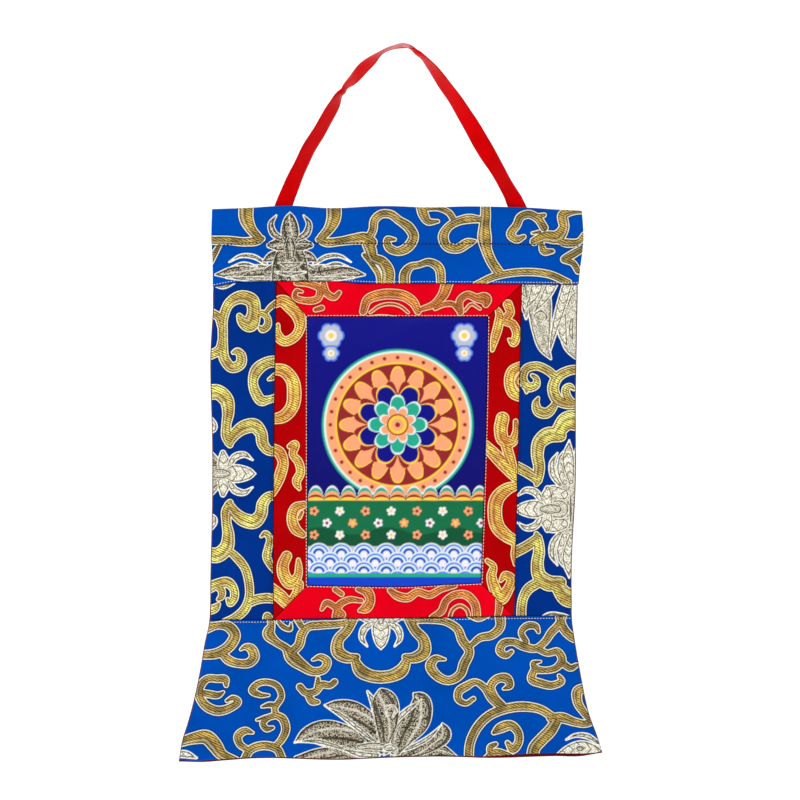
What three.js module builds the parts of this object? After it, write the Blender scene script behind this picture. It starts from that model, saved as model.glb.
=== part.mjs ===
// Small brocade-mounted scroll painting, hung by a satin ribbon.
// Millimetres, +Z up. X runs to the viewer's right and Y runs back towards the wall.
// The origin is the point under the ribbon's top where a nail carries the whole piece.
import * as THREE from 'three';

// Heights of the cross seams, below the nail.
const bandTop = -87.1;
const bandSeam = -130;
const pictureTop = -148.3;
const pictureFoot = -297.8;
const skirtSeam = -316;
const skirtFoot = -393.4;

// The left edge of the picture, which is the visible part of a 4 by 6 inch print.
const pictureLeft = -54;

// Depths in front of the wall. Every front piece starts at pieceBack, and a piece that is sewn over
// its neighbour stands a turned hem higher than it.
const wallY = 5;
const liningFront = 1;
const pieceBack = 1.3;
const pictureFront = 2.3;
const borderFront = 2.6;
const panelFront = 2.9;
const bandFront = 3.2;

// Neighbouring pieces stay this far apart.
const seamGap = 0.3;

// How much of the lining shows beside the brocade, and how far it stops inside the band.
const liningBeside = 0.4;
const liningUnderBand = 1.6;

const ribbonWide = 9.5;
const ribbonThick = 0.8;

const colours = {
  bandBlue: 0x0a55c4,
  panelBlue: 0x0a2c94,
  borderRed: 0xe00a1c,
  borderRedDark: 0xb80812,
  picture: 0x10128a,
  lining: 0x5a0d12,
  ribbon: 0xd80a10,
};

// A smooth line through the rows of a table: the value of one column at a place on another.
function lineThrough(rows, along, value) {
  const last = rows.length - 1;
  const slope = (i) => {
    const a = rows[Math.max(i - 1, 0)];
    const b = rows[Math.min(i + 1, last)];
    return (b[value] - a[value]) / (b[along] - a[along]);
  };
  return (place) => {
    const at = THREE.MathUtils.clamp(place, rows[0][along], rows[last][along]);
    let i = 0;
    while (i < last - 1 && at > rows[i + 1][along]) i += 1;
    const span = rows[i + 1][along] - rows[i][along];
    const t = (at - rows[i][along]) / span;
    const bend = t * t * (3 - 2 * t);
    const start = slope(i) * span * t * (1 - t) * (1 - t);
    const end = slope(i + 1) * span * t * t * (1 - t);
    return rows[i][value] + (rows[i + 1][value] - rows[i][value]) * bend + start - end;
  };
}

// Where the lining's edges and the upright seams run, from the foot upwards.
const edges = {
  bodyLeft: lineThrough([
    { z: -316, x: -108.1 },
    { z: -295, x: -108 },
    { z: -250, x: -107 },
    { z: -217, x: -107 },
    { z: -172, x: -108 },
    { z: -139, x: -106.4 },
    { z: -130, x: -106.8 },
  ], 'z', 'x'),
  leftSeam: lineThrough([
    { z: -316, x: -73 },
    { z: -250, x: -72.9 },
    { z: -167, x: -72 },
    { z: -130, x: -71.4 },
  ], 'z', 'x'),
  pictureRight: lineThrough([
    { z: -298, x: 42.5 },
    { z: -250, x: 44.2 },
    { z: -195, x: 45.8 },
    { z: -148, x: 46.4 },
  ], 'z', 'x'),
  rightSeam: lineThrough([
    { z: -316, x: 60.3 },
    { z: -306, x: 61.1 },
    { z: -250, x: 62.5 },
    { z: -195, x: 63.9 },
    { z: -150, x: 64.7 },
    { z: -130, x: 65.3 },
  ], 'z', 'x'),
  bodyRight: lineThrough([
    { z: -316, x: 93.1 },
    { z: -284, x: 93.1 },
    { z: -240, x: 95.2 },
    { z: -195, x: 95.3 },
    { z: -130, x: 96.5 },
  ], 'z', 'x'),
  skirtLeft: lineThrough([
    { z: -395, x: -124.9 },
    { z: -388, x: -124.2 },
    { z: -381, x: -122.5 },
    { z: -368, x: -118.6 },
    { z: -348, x: -114.2 },
    { z: -328, x: -110.8 },
    { z: -316, x: -108.1 },
  ], 'z', 'x'),
  skirtRight: lineThrough([
    { z: -395, x: 109.9 },
    { z: -388, x: 109.2 },
    { z: -381, x: 106.9 },
    { z: -368, x: 102.2 },
    { z: -348, x: 98.1 },
    { z: -328, x: 94.7 },
    { z: -316, x: 93.1 },
  ], 'z', 'x'),
  bandLeft: lineThrough([
    { z: -133, x: -106.8 },
    { z: -115, x: -107 },
    { z: -106, x: -107.5 },
    { z: -87, x: -107.1 },
  ], 'z', 'x'),
  bandRight: lineThrough([
    { z: -133, x: 96.8 },
    { z: -124, x: 97.6 },
    { z: -106, x: 99.6 },
    { z: -87, x: 98.6 },
  ], 'z', 'x'),
};

// How far each cross seam wanders off its own height, from left to right.
const sags = {
  bandTop: lineThrough([
    { x: -108, off: -1.3 },
    { x: -84, off: -0.4 },
    { x: -64, off: 0.6 },
    { x: -41, off: -0.7 },
    { x: -12, off: 0.4 },
    { x: 15, off: -0.3 },
    { x: 35, off: 0.2 },
    { x: 66, off: -0.4 },
    { x: 84, off: -1.4 },
    { x: 100, off: -2.2 },
  ], 'x', 'off'),
  bandSeam: lineThrough([
    { x: -108, off: -2.2 },
    { x: -92, off: 0.8 },
    { x: -64, off: 1.3 },
    { x: -36, off: 1.1 },
    { x: -24, off: 0.1 },
    { x: 25, off: 0 },
    { x: 98, off: -0.6 },
  ], 'x', 'off'),
  pictureFoot: lineThrough([
    { x: -54, off: 0 },
    { x: -2, off: -0.8 },
    { x: 20, off: 0.3 },
    { x: 43, off: 1.4 },
  ], 'x', 'off'),
  skirtSeam: lineThrough([
    { x: -109, off: -0.9 },
    { x: -73, off: -0.9 },
    { x: -58, off: -0.4 },
    { x: 0, off: 0.1 },
    { x: 36, off: 0.7 },
    { x: 64, off: 1.2 },
    { x: 94, off: 1.3 },
  ], 'x', 'off'),
  liningFoot: lineThrough([
    { x: -125, off: -1.2 },
    { x: -117, off: -1.9 },
    { x: -98, off: -0.8 },
    { x: -78, off: 0.4 },
    { x: -38, off: -0.8 },
    { x: -10, off: 0.3 },
    { x: 22, off: 0.9 },
    { x: 48, off: 0.3 },
    { x: 80, off: 1.4 },
    { x: 102, off: 1.6 },
    { x: 110, off: 3.7 },
  ], 'x', 'off'),
};

// How much of the lining shows below the skirt, from left to right.
const liningBelow = lineThrough([
  { x: -125, shows: 0.8 },
  { x: 40, shows: 0.8 },
  { x: 62, shows: 1.7 },
  { x: 110, shows: 1.4 },
], 'x', 'shows');

const seams = {
  bandTop: (x) => bandTop + sags.bandTop(x),
  bandSeam: (x) => bandSeam + sags.bandSeam(x),
  pictureTop: () => pictureTop,
  pictureFoot: (x) => pictureFoot + sags.pictureFoot(x),
  skirtSeam: (x) => skirtSeam + sags.skirtSeam(x),
  skirtFoot: (x) => skirtFoot + sags.liningFoot(x) + liningBelow(x),
  liningFoot: (x) => skirtFoot + sags.liningFoot(x),
  liningTop: (x) => bandTop + sags.bandTop(x) - liningUnderBand,
  pictureLeft: () => pictureLeft,
  panelLeft: (z) => edges.bodyLeft(z) + liningBeside,
  panelRight: (z) => edges.bodyRight(z) - liningBeside,
  skirtLeft: (z) => edges.skirtLeft(z) + liningBeside,
  skirtRight: (z) => edges.skirtRight(z) - liningBeside,
};

// Soft swells where the cloth stands off the wall: place, reach across and up, and rise.
const swells = [
  { x: -104, z: -196, across: 22, up: 40, rise: 1.6 },
  { x: -98, z: -282, across: 26, up: 30, rise: 1.1 },
  { x: -30, z: -224, across: 34, up: 60, rise: 0.7 },
  { x: 58, z: -170, across: 16, up: 28, rise: 0.8 },
  { x: 94, z: -232, across: 20, up: 34, rise: 2.1 },
  { x: 52, z: -300, across: 30, up: 22, rise: 1.2 },
  { x: -70, z: -372, across: 20, up: 36, rise: 1.6 },
  { x: 8, z: -384, across: 26, up: 34, rise: -1.2 },
  { x: 66, z: -378, across: 18, up: 30, rise: 1.8 },
];
const flatAbove = -134;
const swellsFullBelow = -160;
const bodyStandOff = 1.2;

// The skirt comes forward towards its foot, and more so at its two corners.
const skirtRise = 9;
const cornerRise = 5;
const skirtMiddle = -7;
const skirtHalfWidth = 116;

function standOff(x, z) {
  const ease = 1 - THREE.MathUtils.smoothstep(z, swellsFullBelow, flatAbove);
  let rise = bodyStandOff;
  for (const s of swells) {
    const far = ((x - s.x) / s.across) ** 2 + ((z - s.z) / s.up) ** 2;
    rise += s.rise * Math.exp(-far);
  }
  const down = Math.max(0, (skirtSeam - z) / (skirtSeam - skirtFoot));
  const out = Math.abs(x - skirtMiddle) / skirtHalfWidth;
  return rise * ease + down * down * (skirtRise + cornerRise * out ** 4);
}

// The y of a face that stands some depth in front of the wall.
const faceAt = (depth) => (x, z) => wallY - depth - standOff(x, z);

function geometryOf(positions, indices) {
  const geometry = new THREE.BufferGeometry();
  geometry.setAttribute('position', new THREE.Float32BufferAttribute(positions, 3));
  geometry.setIndex(indices);
  geometry.computeVertexNormals();
  return geometry;
}

// A closed slab of cloth between four seams, with a front and a back face. The stops are the
// heights of its rows of points, as shares of the way from its foot to its top.
function slab({ left, right, foot, top, front, back, columns, stops, inset = seamGap / 2 }) {
  const positions = [];
  const indices = [];
  const rows = stops.length;
  const middle = (foot(0) + top(0)) / 2;
  const settlingPasses = 6;
  const placeOf = (across, up) => {
    let x = 0;
    let z = middle;
    for (let pass = 0; pass < settlingPasses; pass += 1) {
      x = THREE.MathUtils.lerp(left(z) + inset, right(z) - inset, across);
      z = THREE.MathUtils.lerp(foot(x) + inset, top(x) - inset, up);
    }
    return [x, z];
  };
  for (const face of [front, back]) {
    for (const up of stops) {
      for (let c = 0; c <= columns; c += 1) {
        const [x, z] = placeOf(c / columns, up);
        positions.push(x, face(x, z, up), z);
      }
    }
  }
  const wide = columns + 1;
  const at = (side, r, c) => side * rows * wide + r * wide + c;
  const quad = (a, b, c, d) => indices.push(a, b, c, a, c, d);
  for (let r = 0; r < rows - 1; r += 1) {
    for (let c = 0; c < columns; c += 1) {
      quad(at(0, r, c), at(0, r, c + 1), at(0, r + 1, c + 1), at(0, r + 1, c));
      quad(at(1, r, c), at(1, r + 1, c), at(1, r + 1, c + 1), at(1, r, c + 1));
    }
    quad(at(0, r, 0), at(0, r + 1, 0), at(1, r + 1, 0), at(1, r, 0));
    quad(at(0, r, columns), at(1, r, columns), at(1, r + 1, columns), at(0, r + 1, columns));
  }
  for (let c = 0; c < columns; c += 1) {
    quad(at(0, 0, c), at(1, 0, c), at(1, 0, c + 1), at(0, 0, c + 1));
    quad(at(0, rows - 1, c), at(0, rows - 1, c + 1), at(1, rows - 1, c + 1), at(1, rows - 1, c));
  }
  return geometryOf(positions, indices);
}

const evenStops = (rows) => Array.from({ length: rows + 1 }, (_, r) => r / rows);

const scroll = new THREE.Group();

function addPiece(name, geometry, colour, roughness) {
  const material = new THREE.MeshStandardMaterial({ color: colour, roughness, metalness: 0 });
  const mesh = new THREE.Mesh(geometry, material);
  mesh.name = name;
  scroll.add(mesh);
}

// The band across the top: its upper half is folded over into a filled casing and stitched down.
// Each row gives how far below the top edge it lies, and how far in front of the wall its faces are.
const bandSection = [
  { drop: 42.9, front: bandFront, back: pieceBack },
  { drop: 33, front: bandFront + 0.1, back: pieceBack },
  { drop: 25, front: bandFront + 0.2, back: pieceBack },
  { drop: 23, front: 3.3, back: 1.5 },
  { drop: 22, front: 3, back: 1.8 },
  { drop: 20.8, front: 3.7, back: 2.2 },
  { drop: 18, front: 5.1, back: 2.4 },
  { drop: 12.5, front: 6.2, back: 2.4 },
  { drop: 6.5, front: 6.3, back: 2.4 },
  { drop: 2.4, front: 5.7, back: 2.4 },
  { drop: 0.7, front: 4.9, back: 2.4 },
  { drop: 0, front: 3.8, back: 2.4 },
];

function topBand() {
  const tall = bandTop - bandSeam;
  const rows = bandSection.map((row) => ({ ...row, up: 1 - row.drop / tall }));
  const front = lineThrough(rows, 'up', 'front');
  const back = lineThrough(rows, 'up', 'back');
  const geometry = slab({
    left: edges.bandLeft,
    right: edges.bandRight,
    foot: seams.bandSeam,
    top: seams.bandTop,
    front: (x, z, up) => wallY - front(up),
    back: (x, z, up) => wallY - back(up),
    columns: 26,
    stops: rows.map((row) => row.up),
  });
  addPiece('top_band', geometry, colours.bandBlue, 0.5);
}

function sidePanels() {
  const shared = {
    foot: seams.skirtSeam,
    top: seams.bandSeam,
    front: faceAt(panelFront),
    back: faceAt(pieceBack),
    columns: 5,
    stops: evenStops(22),
  };
  const leftPanel = slab({ ...shared, left: seams.panelLeft, right: edges.leftSeam });
  const rightPanel = slab({ ...shared, left: edges.rightSeam, right: seams.panelRight });
  addPiece('left_panel', leftPanel, colours.panelBlue, 0.5);
  addPiece('right_panel', rightPanel, colours.panelBlue, 0.5);
}

// The mitre from the border's outer corner to the picture's corner, as x for a height and back.
function mitre(outerEdge, outerSeam, innerX, innerZ) {
  const outerZ = outerSeam(outerEdge(innerZ));
  const outerX = outerEdge(outerZ);
  const slope = (innerX - outerX) / (innerZ - outerZ);
  return {
    xAt: (z) => outerX + (z - outerZ) * slope,
    zAt: (x) => outerZ + (x - outerX) / slope,
  };
}

// Four strips round the picture, mitred at its corners.
function borders() {
  const topRight = edges.pictureRight(pictureTop);
  const footRight = edges.pictureRight(pictureFoot);
  const footOf = seams.pictureFoot;
  const corner = {
    topLeft: mitre(edges.leftSeam, seams.bandSeam, pictureLeft, pictureTop),
    topRight: mitre(edges.rightSeam, seams.bandSeam, topRight, pictureTop),
    footLeft: mitre(edges.leftSeam, seams.skirtSeam, pictureLeft, footOf(pictureLeft)),
    footRight: mitre(edges.rightSeam, seams.skirtSeam, footRight, footOf(footRight)),
  };
  const shared = { front: faceAt(borderFront), back: faceAt(pieceBack) };
  const across = { ...shared, columns: 18, stops: evenStops(3) };
  const upright = { ...shared, columns: 3, stops: evenStops(22) };
  const top = slab({
    ...across,
    left: corner.topLeft.xAt,
    right: corner.topRight.xAt,
    foot: seams.pictureTop,
    top: seams.bandSeam,
  });
  const foot = slab({
    ...across,
    left: corner.footLeft.xAt,
    right: corner.footRight.xAt,
    foot: seams.skirtSeam,
    top: seams.pictureFoot,
  });
  const left = slab({
    ...upright,
    left: edges.leftSeam,
    right: seams.pictureLeft,
    foot: corner.footLeft.zAt,
    top: corner.topLeft.zAt,
  });
  const right = slab({
    ...upright,
    left: edges.pictureRight,
    right: edges.rightSeam,
    foot: corner.footRight.zAt,
    top: corner.topRight.zAt,
  });
  addPiece('border_top', top, colours.borderRed, 0.5);
  addPiece('border_foot', foot, colours.borderRed, 0.5);
  addPiece('border_left', left, colours.borderRedDark, 0.5);
  addPiece('border_right', right, colours.borderRedDark, 0.5);
}

function picture() {
  const geometry = slab({
    left: seams.pictureLeft,
    right: edges.pictureRight,
    foot: seams.pictureFoot,
    top: seams.pictureTop,
    front: faceAt(pictureFront),
    back: faceAt(pieceBack),
    columns: 12,
    stops: evenStops(18),
  });
  addPiece('picture', geometry, colours.picture, 0.6);
}

function skirt() {
  const geometry = slab({
    left: seams.skirtLeft,
    right: seams.skirtRight,
    foot: seams.skirtFoot,
    top: seams.skirtSeam,
    front: faceAt(bandFront),
    back: faceAt(pieceBack),
    columns: 28,
    stops: evenStops(12),
  });
  addPiece('skirt', geometry, colours.bandBlue, 0.5);
}

// The lining covers the whole back and shows as a thin line outside the brocade's edges.
function lining() {
  const shortOfBandEnds = 1.2;
  const outline = (band, body, skirtSide, inward) => (z) => {
    if (z > bandSeam) return band(z) + inward * shortOfBandEnds;
    return z > skirtSeam ? body(z) : skirtSide(z);
  };
  const geometry = slab({
    left: outline(edges.bandLeft, edges.bodyLeft, edges.skirtLeft, 1),
    right: outline(edges.bandRight, edges.bodyRight, edges.skirtRight, -1),
    foot: seams.liningFoot,
    top: seams.liningTop,
    front: faceAt(liningFront),
    back: faceAt(0),
    columns: 18,
    stops: evenStops(28),
    inset: 0,
  });
  addPiece('lining', geometry, colours.lining, 0.8);
}

// The ribbon's way over the nail: its middle line, its turn about that line, and how far its
// middle bulges where it is rolled in a half twist. At turn 0 its face is square to the viewer,
// below 0 its outer edge comes forward, and past -90 its other face shows.
const ribbonWay = [
  { x: -72, z: -100, y: 3.3, turn: 0, bulge: 0 },
  { x: -69.3, z: -92.4, y: 3.3, turn: 0, bulge: 0 },
  { x: -67.3, z: -86.8, y: 3.3, turn: 0, bulge: 0 },
  { x: -65.5, z: -82, y: 2.9, turn: -16, bulge: 0 },
  { x: -62.8, z: -75.4, y: 2.4, turn: -24, bulge: 0 },
  { x: -58.4, z: -65.6, y: 1.6, turn: -37, bulge: 0 },
  { x: -53.6, z: -55.7, y: 1.3, turn: -39, bulge: 0 },
  { x: -45.5, z: -42.3, y: 0.9, turn: -44, bulge: 0 },
  { x: -38.9, z: -30.4, y: 0.4, turn: -52, bulge: 0 },
  { x: -35.9, z: -25.4, y: 0, turn: -70, bulge: 1.4 },
  { x: -34.2, z: -23.2, y: -0.2, turn: -90, bulge: 3 },
  { x: -32.4, z: -20.9, y: -0.2, turn: -112, bulge: 1.4 },
  { x: -27.7, z: -15.8, y: -0.2, turn: -130, bulge: 0 },
  { x: -22, z: -9.4, y: -0.2, turn: -135, bulge: 0 },
  { x: -18.5, z: -6.2, y: 0, turn: -128, bulge: 0 },
  { x: -13.4, z: -2, y: 0, turn: -109, bulge: 0 },
  { x: -5.7, z: 1.4, y: 0, turn: -109, bulge: 0 },
  { x: 0, z: 2.3, y: 0, turn: -113, bulge: 0 },
  { x: 3, z: 1.3, y: 0, turn: -106, bulge: 1 },
  { x: 6.8, z: -1.6, y: 0, turn: -90, bulge: 2.4 },
  { x: 10.6, z: -5, y: 0, turn: -74, bulge: 1 },
  { x: 14.2, z: -8.6, y: 0, turn: -64, bulge: 0 },
  { x: 19.4, z: -15.7, y: 0.2, turn: -51, bulge: 0 },
  { x: 26.8, z: -25.8, y: 0.6, turn: -43, bulge: 0 },
  { x: 35.5, z: -39.4, y: 1.4, turn: -26, bulge: 0 },
  { x: 43.3, z: -52.8, y: 2.4, turn: -4, bulge: 0 },
  { x: 50.9, z: -65.5, y: 2, turn: 27, bulge: 0 },
  { x: 56.6, z: -75.5, y: 1.9, turn: 31, bulge: 0 },
  { x: 59.6, z: -81, y: 2.6, turn: 22, bulge: 0 },
  { x: 61.8, z: -85.4, y: 3.3, turn: 0, bulge: 0 },
  { x: 65, z: -92, y: 3.3, turn: 0, bulge: 0 },
  { x: 68.6, z: -99.8, y: 3.3, turn: 0, bulge: 0 },
];

function ribbon() {
  const stepsPerRow = 3;
  const last = ribbonWay.length - 1;
  const points = ribbonWay.map((row) => new THREE.Vector3(row.x, row.y, row.z));
  const path = new THREE.CatmullRomCurve3(points, false, 'centripetal');
  const rows = ribbonWay.map((row, at) => ({ ...row, at }));
  const turnAt = lineThrough(rows, 'at', 'turn');
  const bulgeAt = lineThrough(rows, 'at', 'bulge');
  const towardsWall = new THREE.Vector3(0, 1, 0);
  const half = ribbonWide / 2;
  const section = [[-1, -1], [0, -1], [1, -1], [1, 1], [0, 1], [-1, 1]];
  const sides = section.length;
  const positions = [];
  const indices = [];
  const steps = last * stepsPerRow;
  for (let s = 0; s <= steps; s += 1) {
    const t = s / steps;
    const centre = path.getPoint(t);
    const along = path.getTangent(t);
    const outward = new THREE.Vector3().crossVectors(along, towardsWall).normalize();
    const turn = THREE.MathUtils.degToRad(turnAt(t * last));
    const bulge = Math.max(0, bulgeAt(t * last));
    const wide = outward.clone().applyAxisAngle(along, -turn);
    const thick = new THREE.Vector3().crossVectors(along, wide);
    const reach = Math.sqrt(half * half - bulge * bulge);
    for (const [across, face] of section) {
      const lift = bulge * (0.5 - Math.abs(across)) + face * ribbonThick / 2;
      const corner = centre.clone()
        .addScaledVector(wide, across * reach)
        .addScaledVector(thick, lift);
      positions.push(corner.x, corner.y, corner.z);
    }
  }
  for (let s = 0; s < steps; s += 1) {
    for (let k = 0; k < sides; k += 1) {
      const a = s * sides + k;
      const b = s * sides + ((k + 1) % sides);
      indices.push(a, b, b + sides, a, b + sides, a + sides);
    }
  }
  const end = steps * sides;
  for (const [a, b, c] of [[0, 5, 4], [0, 4, 1], [1, 4, 3], [1, 3, 2]]) {
    indices.push(a, b, c);
    indices.push(end + a, end + c, end + b);
  }
  addPiece('ribbon', geometryOf(positions, indices), colours.ribbon, 0.4);
}

topBand();
sidePanels();
borders();
picture();
skirt();
lining();
ribbon();

export default scroll;
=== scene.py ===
"""Looks of a small hanging scroll: brocade cloths with woven lotus and scroll figures, a printed
picture cloth, a plain lining and a satin ribbon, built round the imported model."""

import math

import bpy
import numpy as np
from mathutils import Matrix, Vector
from mathutils.bvhtree import BVHTree


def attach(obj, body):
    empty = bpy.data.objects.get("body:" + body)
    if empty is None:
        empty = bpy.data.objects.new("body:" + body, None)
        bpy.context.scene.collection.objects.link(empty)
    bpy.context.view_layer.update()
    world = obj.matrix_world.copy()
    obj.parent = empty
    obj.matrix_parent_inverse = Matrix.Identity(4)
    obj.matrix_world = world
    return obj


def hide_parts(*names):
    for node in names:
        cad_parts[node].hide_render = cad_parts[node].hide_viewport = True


bl_info = {
    "name": "Hanging scroll",
    "version": (1, 0, 0),
    "blender": (4, 5, 0),
    "location": "3D View > Sidebar > Scroll",
    "description": "Builds the cloths, ribbon, stitches and stage of a small hanging scroll",
    "category": "Object",
}

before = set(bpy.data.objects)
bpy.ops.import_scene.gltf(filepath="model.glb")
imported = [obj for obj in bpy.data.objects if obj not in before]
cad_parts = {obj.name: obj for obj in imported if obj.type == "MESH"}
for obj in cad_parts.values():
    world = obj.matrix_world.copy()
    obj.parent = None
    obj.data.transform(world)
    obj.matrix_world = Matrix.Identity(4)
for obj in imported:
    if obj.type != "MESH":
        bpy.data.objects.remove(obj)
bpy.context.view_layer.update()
MM = 0.001
SEED = 11

# The square picture frame shows this much at the scroll, round this middle.
VIEW_WIDE = 444.5 * MM
VIEW_MIDDLE = (-2.5 * MM, -194.7 * MM)


def srgb(code):
    """A linear colour with alpha from an sRGB hex value."""
    shares = [int(code[i : i + 2], 16) / 255 for i in (1, 3, 5)]
    return [s / 12.92 if s <= 0.04045 else ((s + 0.055) / 1.055) ** 2.4 for s in shares] + [1.0]


def colour(name, code, text):
    """A colour property whose default is an sRGB hex value."""
    return bpy.props.FloatVectorProperty(
        name=name, description=text, default=srgb(code), size=4, subtype="COLOR", min=0, max=1
    )


def length(name, mm, text):
    """A length property whose default is given in millimetres."""
    return bpy.props.FloatProperty(
        name=name, description=text, default=mm * MM, min=0, unit="LENGTH", precision=5
    )


class ScrollSizes(bpy.types.PropertyGroup):
    """Sizes of the cloth, its weave, the ribbon and the sewing."""

    grid: length("Cloth grid", 0.44, "Distance between points on a woven cloth")
    skirt_grid: length("Skirt grid", 0.5, "Distance between points on the skirt")
    fine_grid: length("Strip grid", 0.4, "Distance between points on the narrow strips")
    picture_grid: length("Picture grid", 0.5, "Distance between points on the printed cloth")
    lining_grid: length("Lining grid", 2.4, "Distance between points on the lining")
    hem: length("Hem roll", 0.55, "Radius of the turned edges")
    relief: length("Figure relief", 0.16, "How far the woven figures stand off their ground")
    unevenness: length("Unevenness", 0.16, "Height of the small waves in the cloth")
    ribbon_wide: length("Ribbon width", 9.5, "Width of the satin ribbon")
    ribbon_thick: length("Ribbon thickness", 0.45, "Thickness of the satin ribbon")
    stitch_pitch: length("Stitch pitch", 2.0, "Distance between machine stitches")
    stitch_long: length("Stitch length", 1.35, "Length of thread that shows in a stitch")
    stitch_thick: length("Thread", 0.42, "Thickness of the sewing thread")


class ScrollColours(bpy.types.PropertyGroup):
    """Colours of the cloths, figures, ribbon and threads."""

    # Band blue and panel blue, and strip red and side strip red, are each one satin cut two ways: the lighter and
    # darker copy of each pair is painted sheen and painted shade.
    band: colour("Band blue", "#0047a6", "Satin ground of the band and skirt")
    panel: colour("Panel blue", "#022e80", "Satin ground of the side panels")
    strip: colour("Strip red", "#da0118", "Ground of the strips above and below the picture")
    side_strip: colour("Side strip red", "#a60206", "Ground of the strips beside the picture")
    gold: colour("Gold", "#e0bb60", "Gold weft of the figures on blue")
    # The band's gold and the panels' gold are one weft cut two ways: this darker copy is painted shade, not a duller
    # thread.
    shaded_band_gold: colour("Old gold", "#a88c42", "Duller gold weft of the band and skirt")
    red_gold: colour("Red gold", "#fbb450", "Gold weft of the figures on red")
    silver: colour("Silver", "#f1f0e2", "Silver weft of the flowers")
    lining: colour("Lining", "#5c0b12", "Maroon cotton lining")
    ribbon: colour("Ribbon", "#c80306", "Red satin ribbon")
    thread: colour("Dark thread", "#171420", "Sewing thread of the casing and the seams")
    pale_thread: colour("Pale thread", "#efe9dc", "Thread along the edges of the strips")


class ScrollStage(bpy.types.PropertyGroup):
    """Camera distance and lights of the studio."""

    distance: length("Camera distance", 2400, "From the camera to the scroll")
    key: bpy.props.FloatProperty(name="Key light", description="Power of the key light", default=22, unit="POWER")
    fill: bpy.props.FloatProperty(name="Fill light", description="Power of the fill light", default=3, unit="POWER")
    back: bpy.props.FloatProperty(name="Back light", description="Power of the back light", default=8, unit="POWER")
    sky: bpy.props.FloatProperty(name="Sky", description="Strength of the even light all round", default=0.62)


def smooth_line(points, spots):
    """Points on a smooth curve through a few points, at shares of its length."""
    p = np.asarray(points, float)
    run = np.concatenate([[0], np.cumsum(np.linalg.norm(np.diff(p, axis=0), axis=1))])
    run /= run[-1]
    slope = np.gradient(p, run, axis=0)
    spots = np.asarray(spots, float)
    i = np.clip(np.searchsorted(run, spots, side="right") - 1, 0, len(p) - 2)
    span = (run[i + 1] - run[i])[:, None]
    t = (spots - run[i])[:, None] / span
    blend = t * t * (3 - 2 * t)
    turn_out = slope[i] * span * t * (1 - t) ** 2
    turn_in = slope[i + 1] * span * t * t * (1 - t)
    return p[i] + (p[i + 1] - p[i]) * blend + turn_out - turn_in


def smooth_step(value, low, high):
    """0 below low, 1 above high and a soft rise between."""
    t = np.clip((value - low) / (high - low), 0, 1)
    return t * t * (3 - 2 * t)


def waves(x, z, size, seed):
    """Small even noise from a few crossing waves, between about -1 and 1."""
    spread = np.random.default_rng(seed)
    total = np.zeros_like(x)
    count = 9
    for _ in range(count):
        turn = spread.uniform(0, math.tau)
        long = size * spread.uniform(0.6, 1.7)
        phase = spread.uniform(0, math.tau)
        total += np.sin((x * math.cos(turn) + z * math.sin(turn)) * math.tau / long + phase)
    return total / math.sqrt(count)


def faces_of(node):
    """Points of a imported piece, with its loose triangles joined, and the triangles of its front
    and of its back."""
    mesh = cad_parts[node].data
    mesh.calc_loop_triangles()
    spots = np.array([v.co for v in mesh.vertices], float)
    corners = np.array([t.vertices for t in mesh.loop_triangles])
    joined, which = np.unique(np.round(spots / (0.002 * MM)).astype(int), axis=0, return_inverse=True)
    merged = joined * 0.002 * MM
    corners = which.reshape(-1)[corners]
    a, b, c = (merged[corners[:, k]] for k in range(3))
    normal = np.cross(b - a, c - a)
    normal /= np.linalg.norm(normal, axis=1)[:, None] + 1e-12
    return merged, corners[normal[:, 1] < -0.3], corners[normal[:, 1] > 0.3]


def rim_of(spots, corners):
    """The four sides of a front as lines of points: foot and top from left to right, left and
    right upwards."""
    edges = {}
    for a, b, c in corners:
        for start, end in ((a, b), (b, c), (c, a)):
            edges[(start, end)] = True
    after = {s: e for s, e in edges if (e, s) not in edges}
    loop = [next(iter(after))]
    while after[loop[-1]] != loop[0]:
        loop.append(after[loop[-1]])
    line = spots[loop]
    flat = line[:, (0, 2)]
    share = (flat - flat.min(0)) / (flat.max(0) - flat.min(0))

    def corner(x, z):
        return int(np.argmin((share[:, 0] - x) ** 2 + (share[:, 1] - z) ** 2))

    def walk(start, end):
        count = (end - start) % len(line)
        return line[[(start + k) % len(line) for k in range(count + 1)]]

    low_left, low_right, high_right, high_left = corner(0, 0), corner(1, 0), corner(1, 1), corner(0, 1)
    one_way = walk(low_left, low_right)
    if len(one_way) > len(line) / 2:
        line = line[::-1]
        flip = len(line) - 1
        low_left, low_right, high_right, high_left = (
            flip - k for k in (low_left, low_right, high_right, high_left)
        )
    foot = walk(low_left, low_right)
    right = walk(low_right, high_right)
    top = walk(high_right, high_left)[::-1]
    left = walk(high_left, low_left)[::-1]
    return foot, top, left, right


def spaced(long, step, hem):
    """Shares along a side, close together within the hem roll and even between."""
    near = [0, 0.12 * hem, 0.4 * hem, hem]
    count = max(4, round((long - 2 * hem) / step))
    inner = np.linspace(hem, long - hem, count + 1)[1:-1]
    far = [long - n for n in reversed(near)]
    return np.concatenate([near, inner, far]) / long


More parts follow.
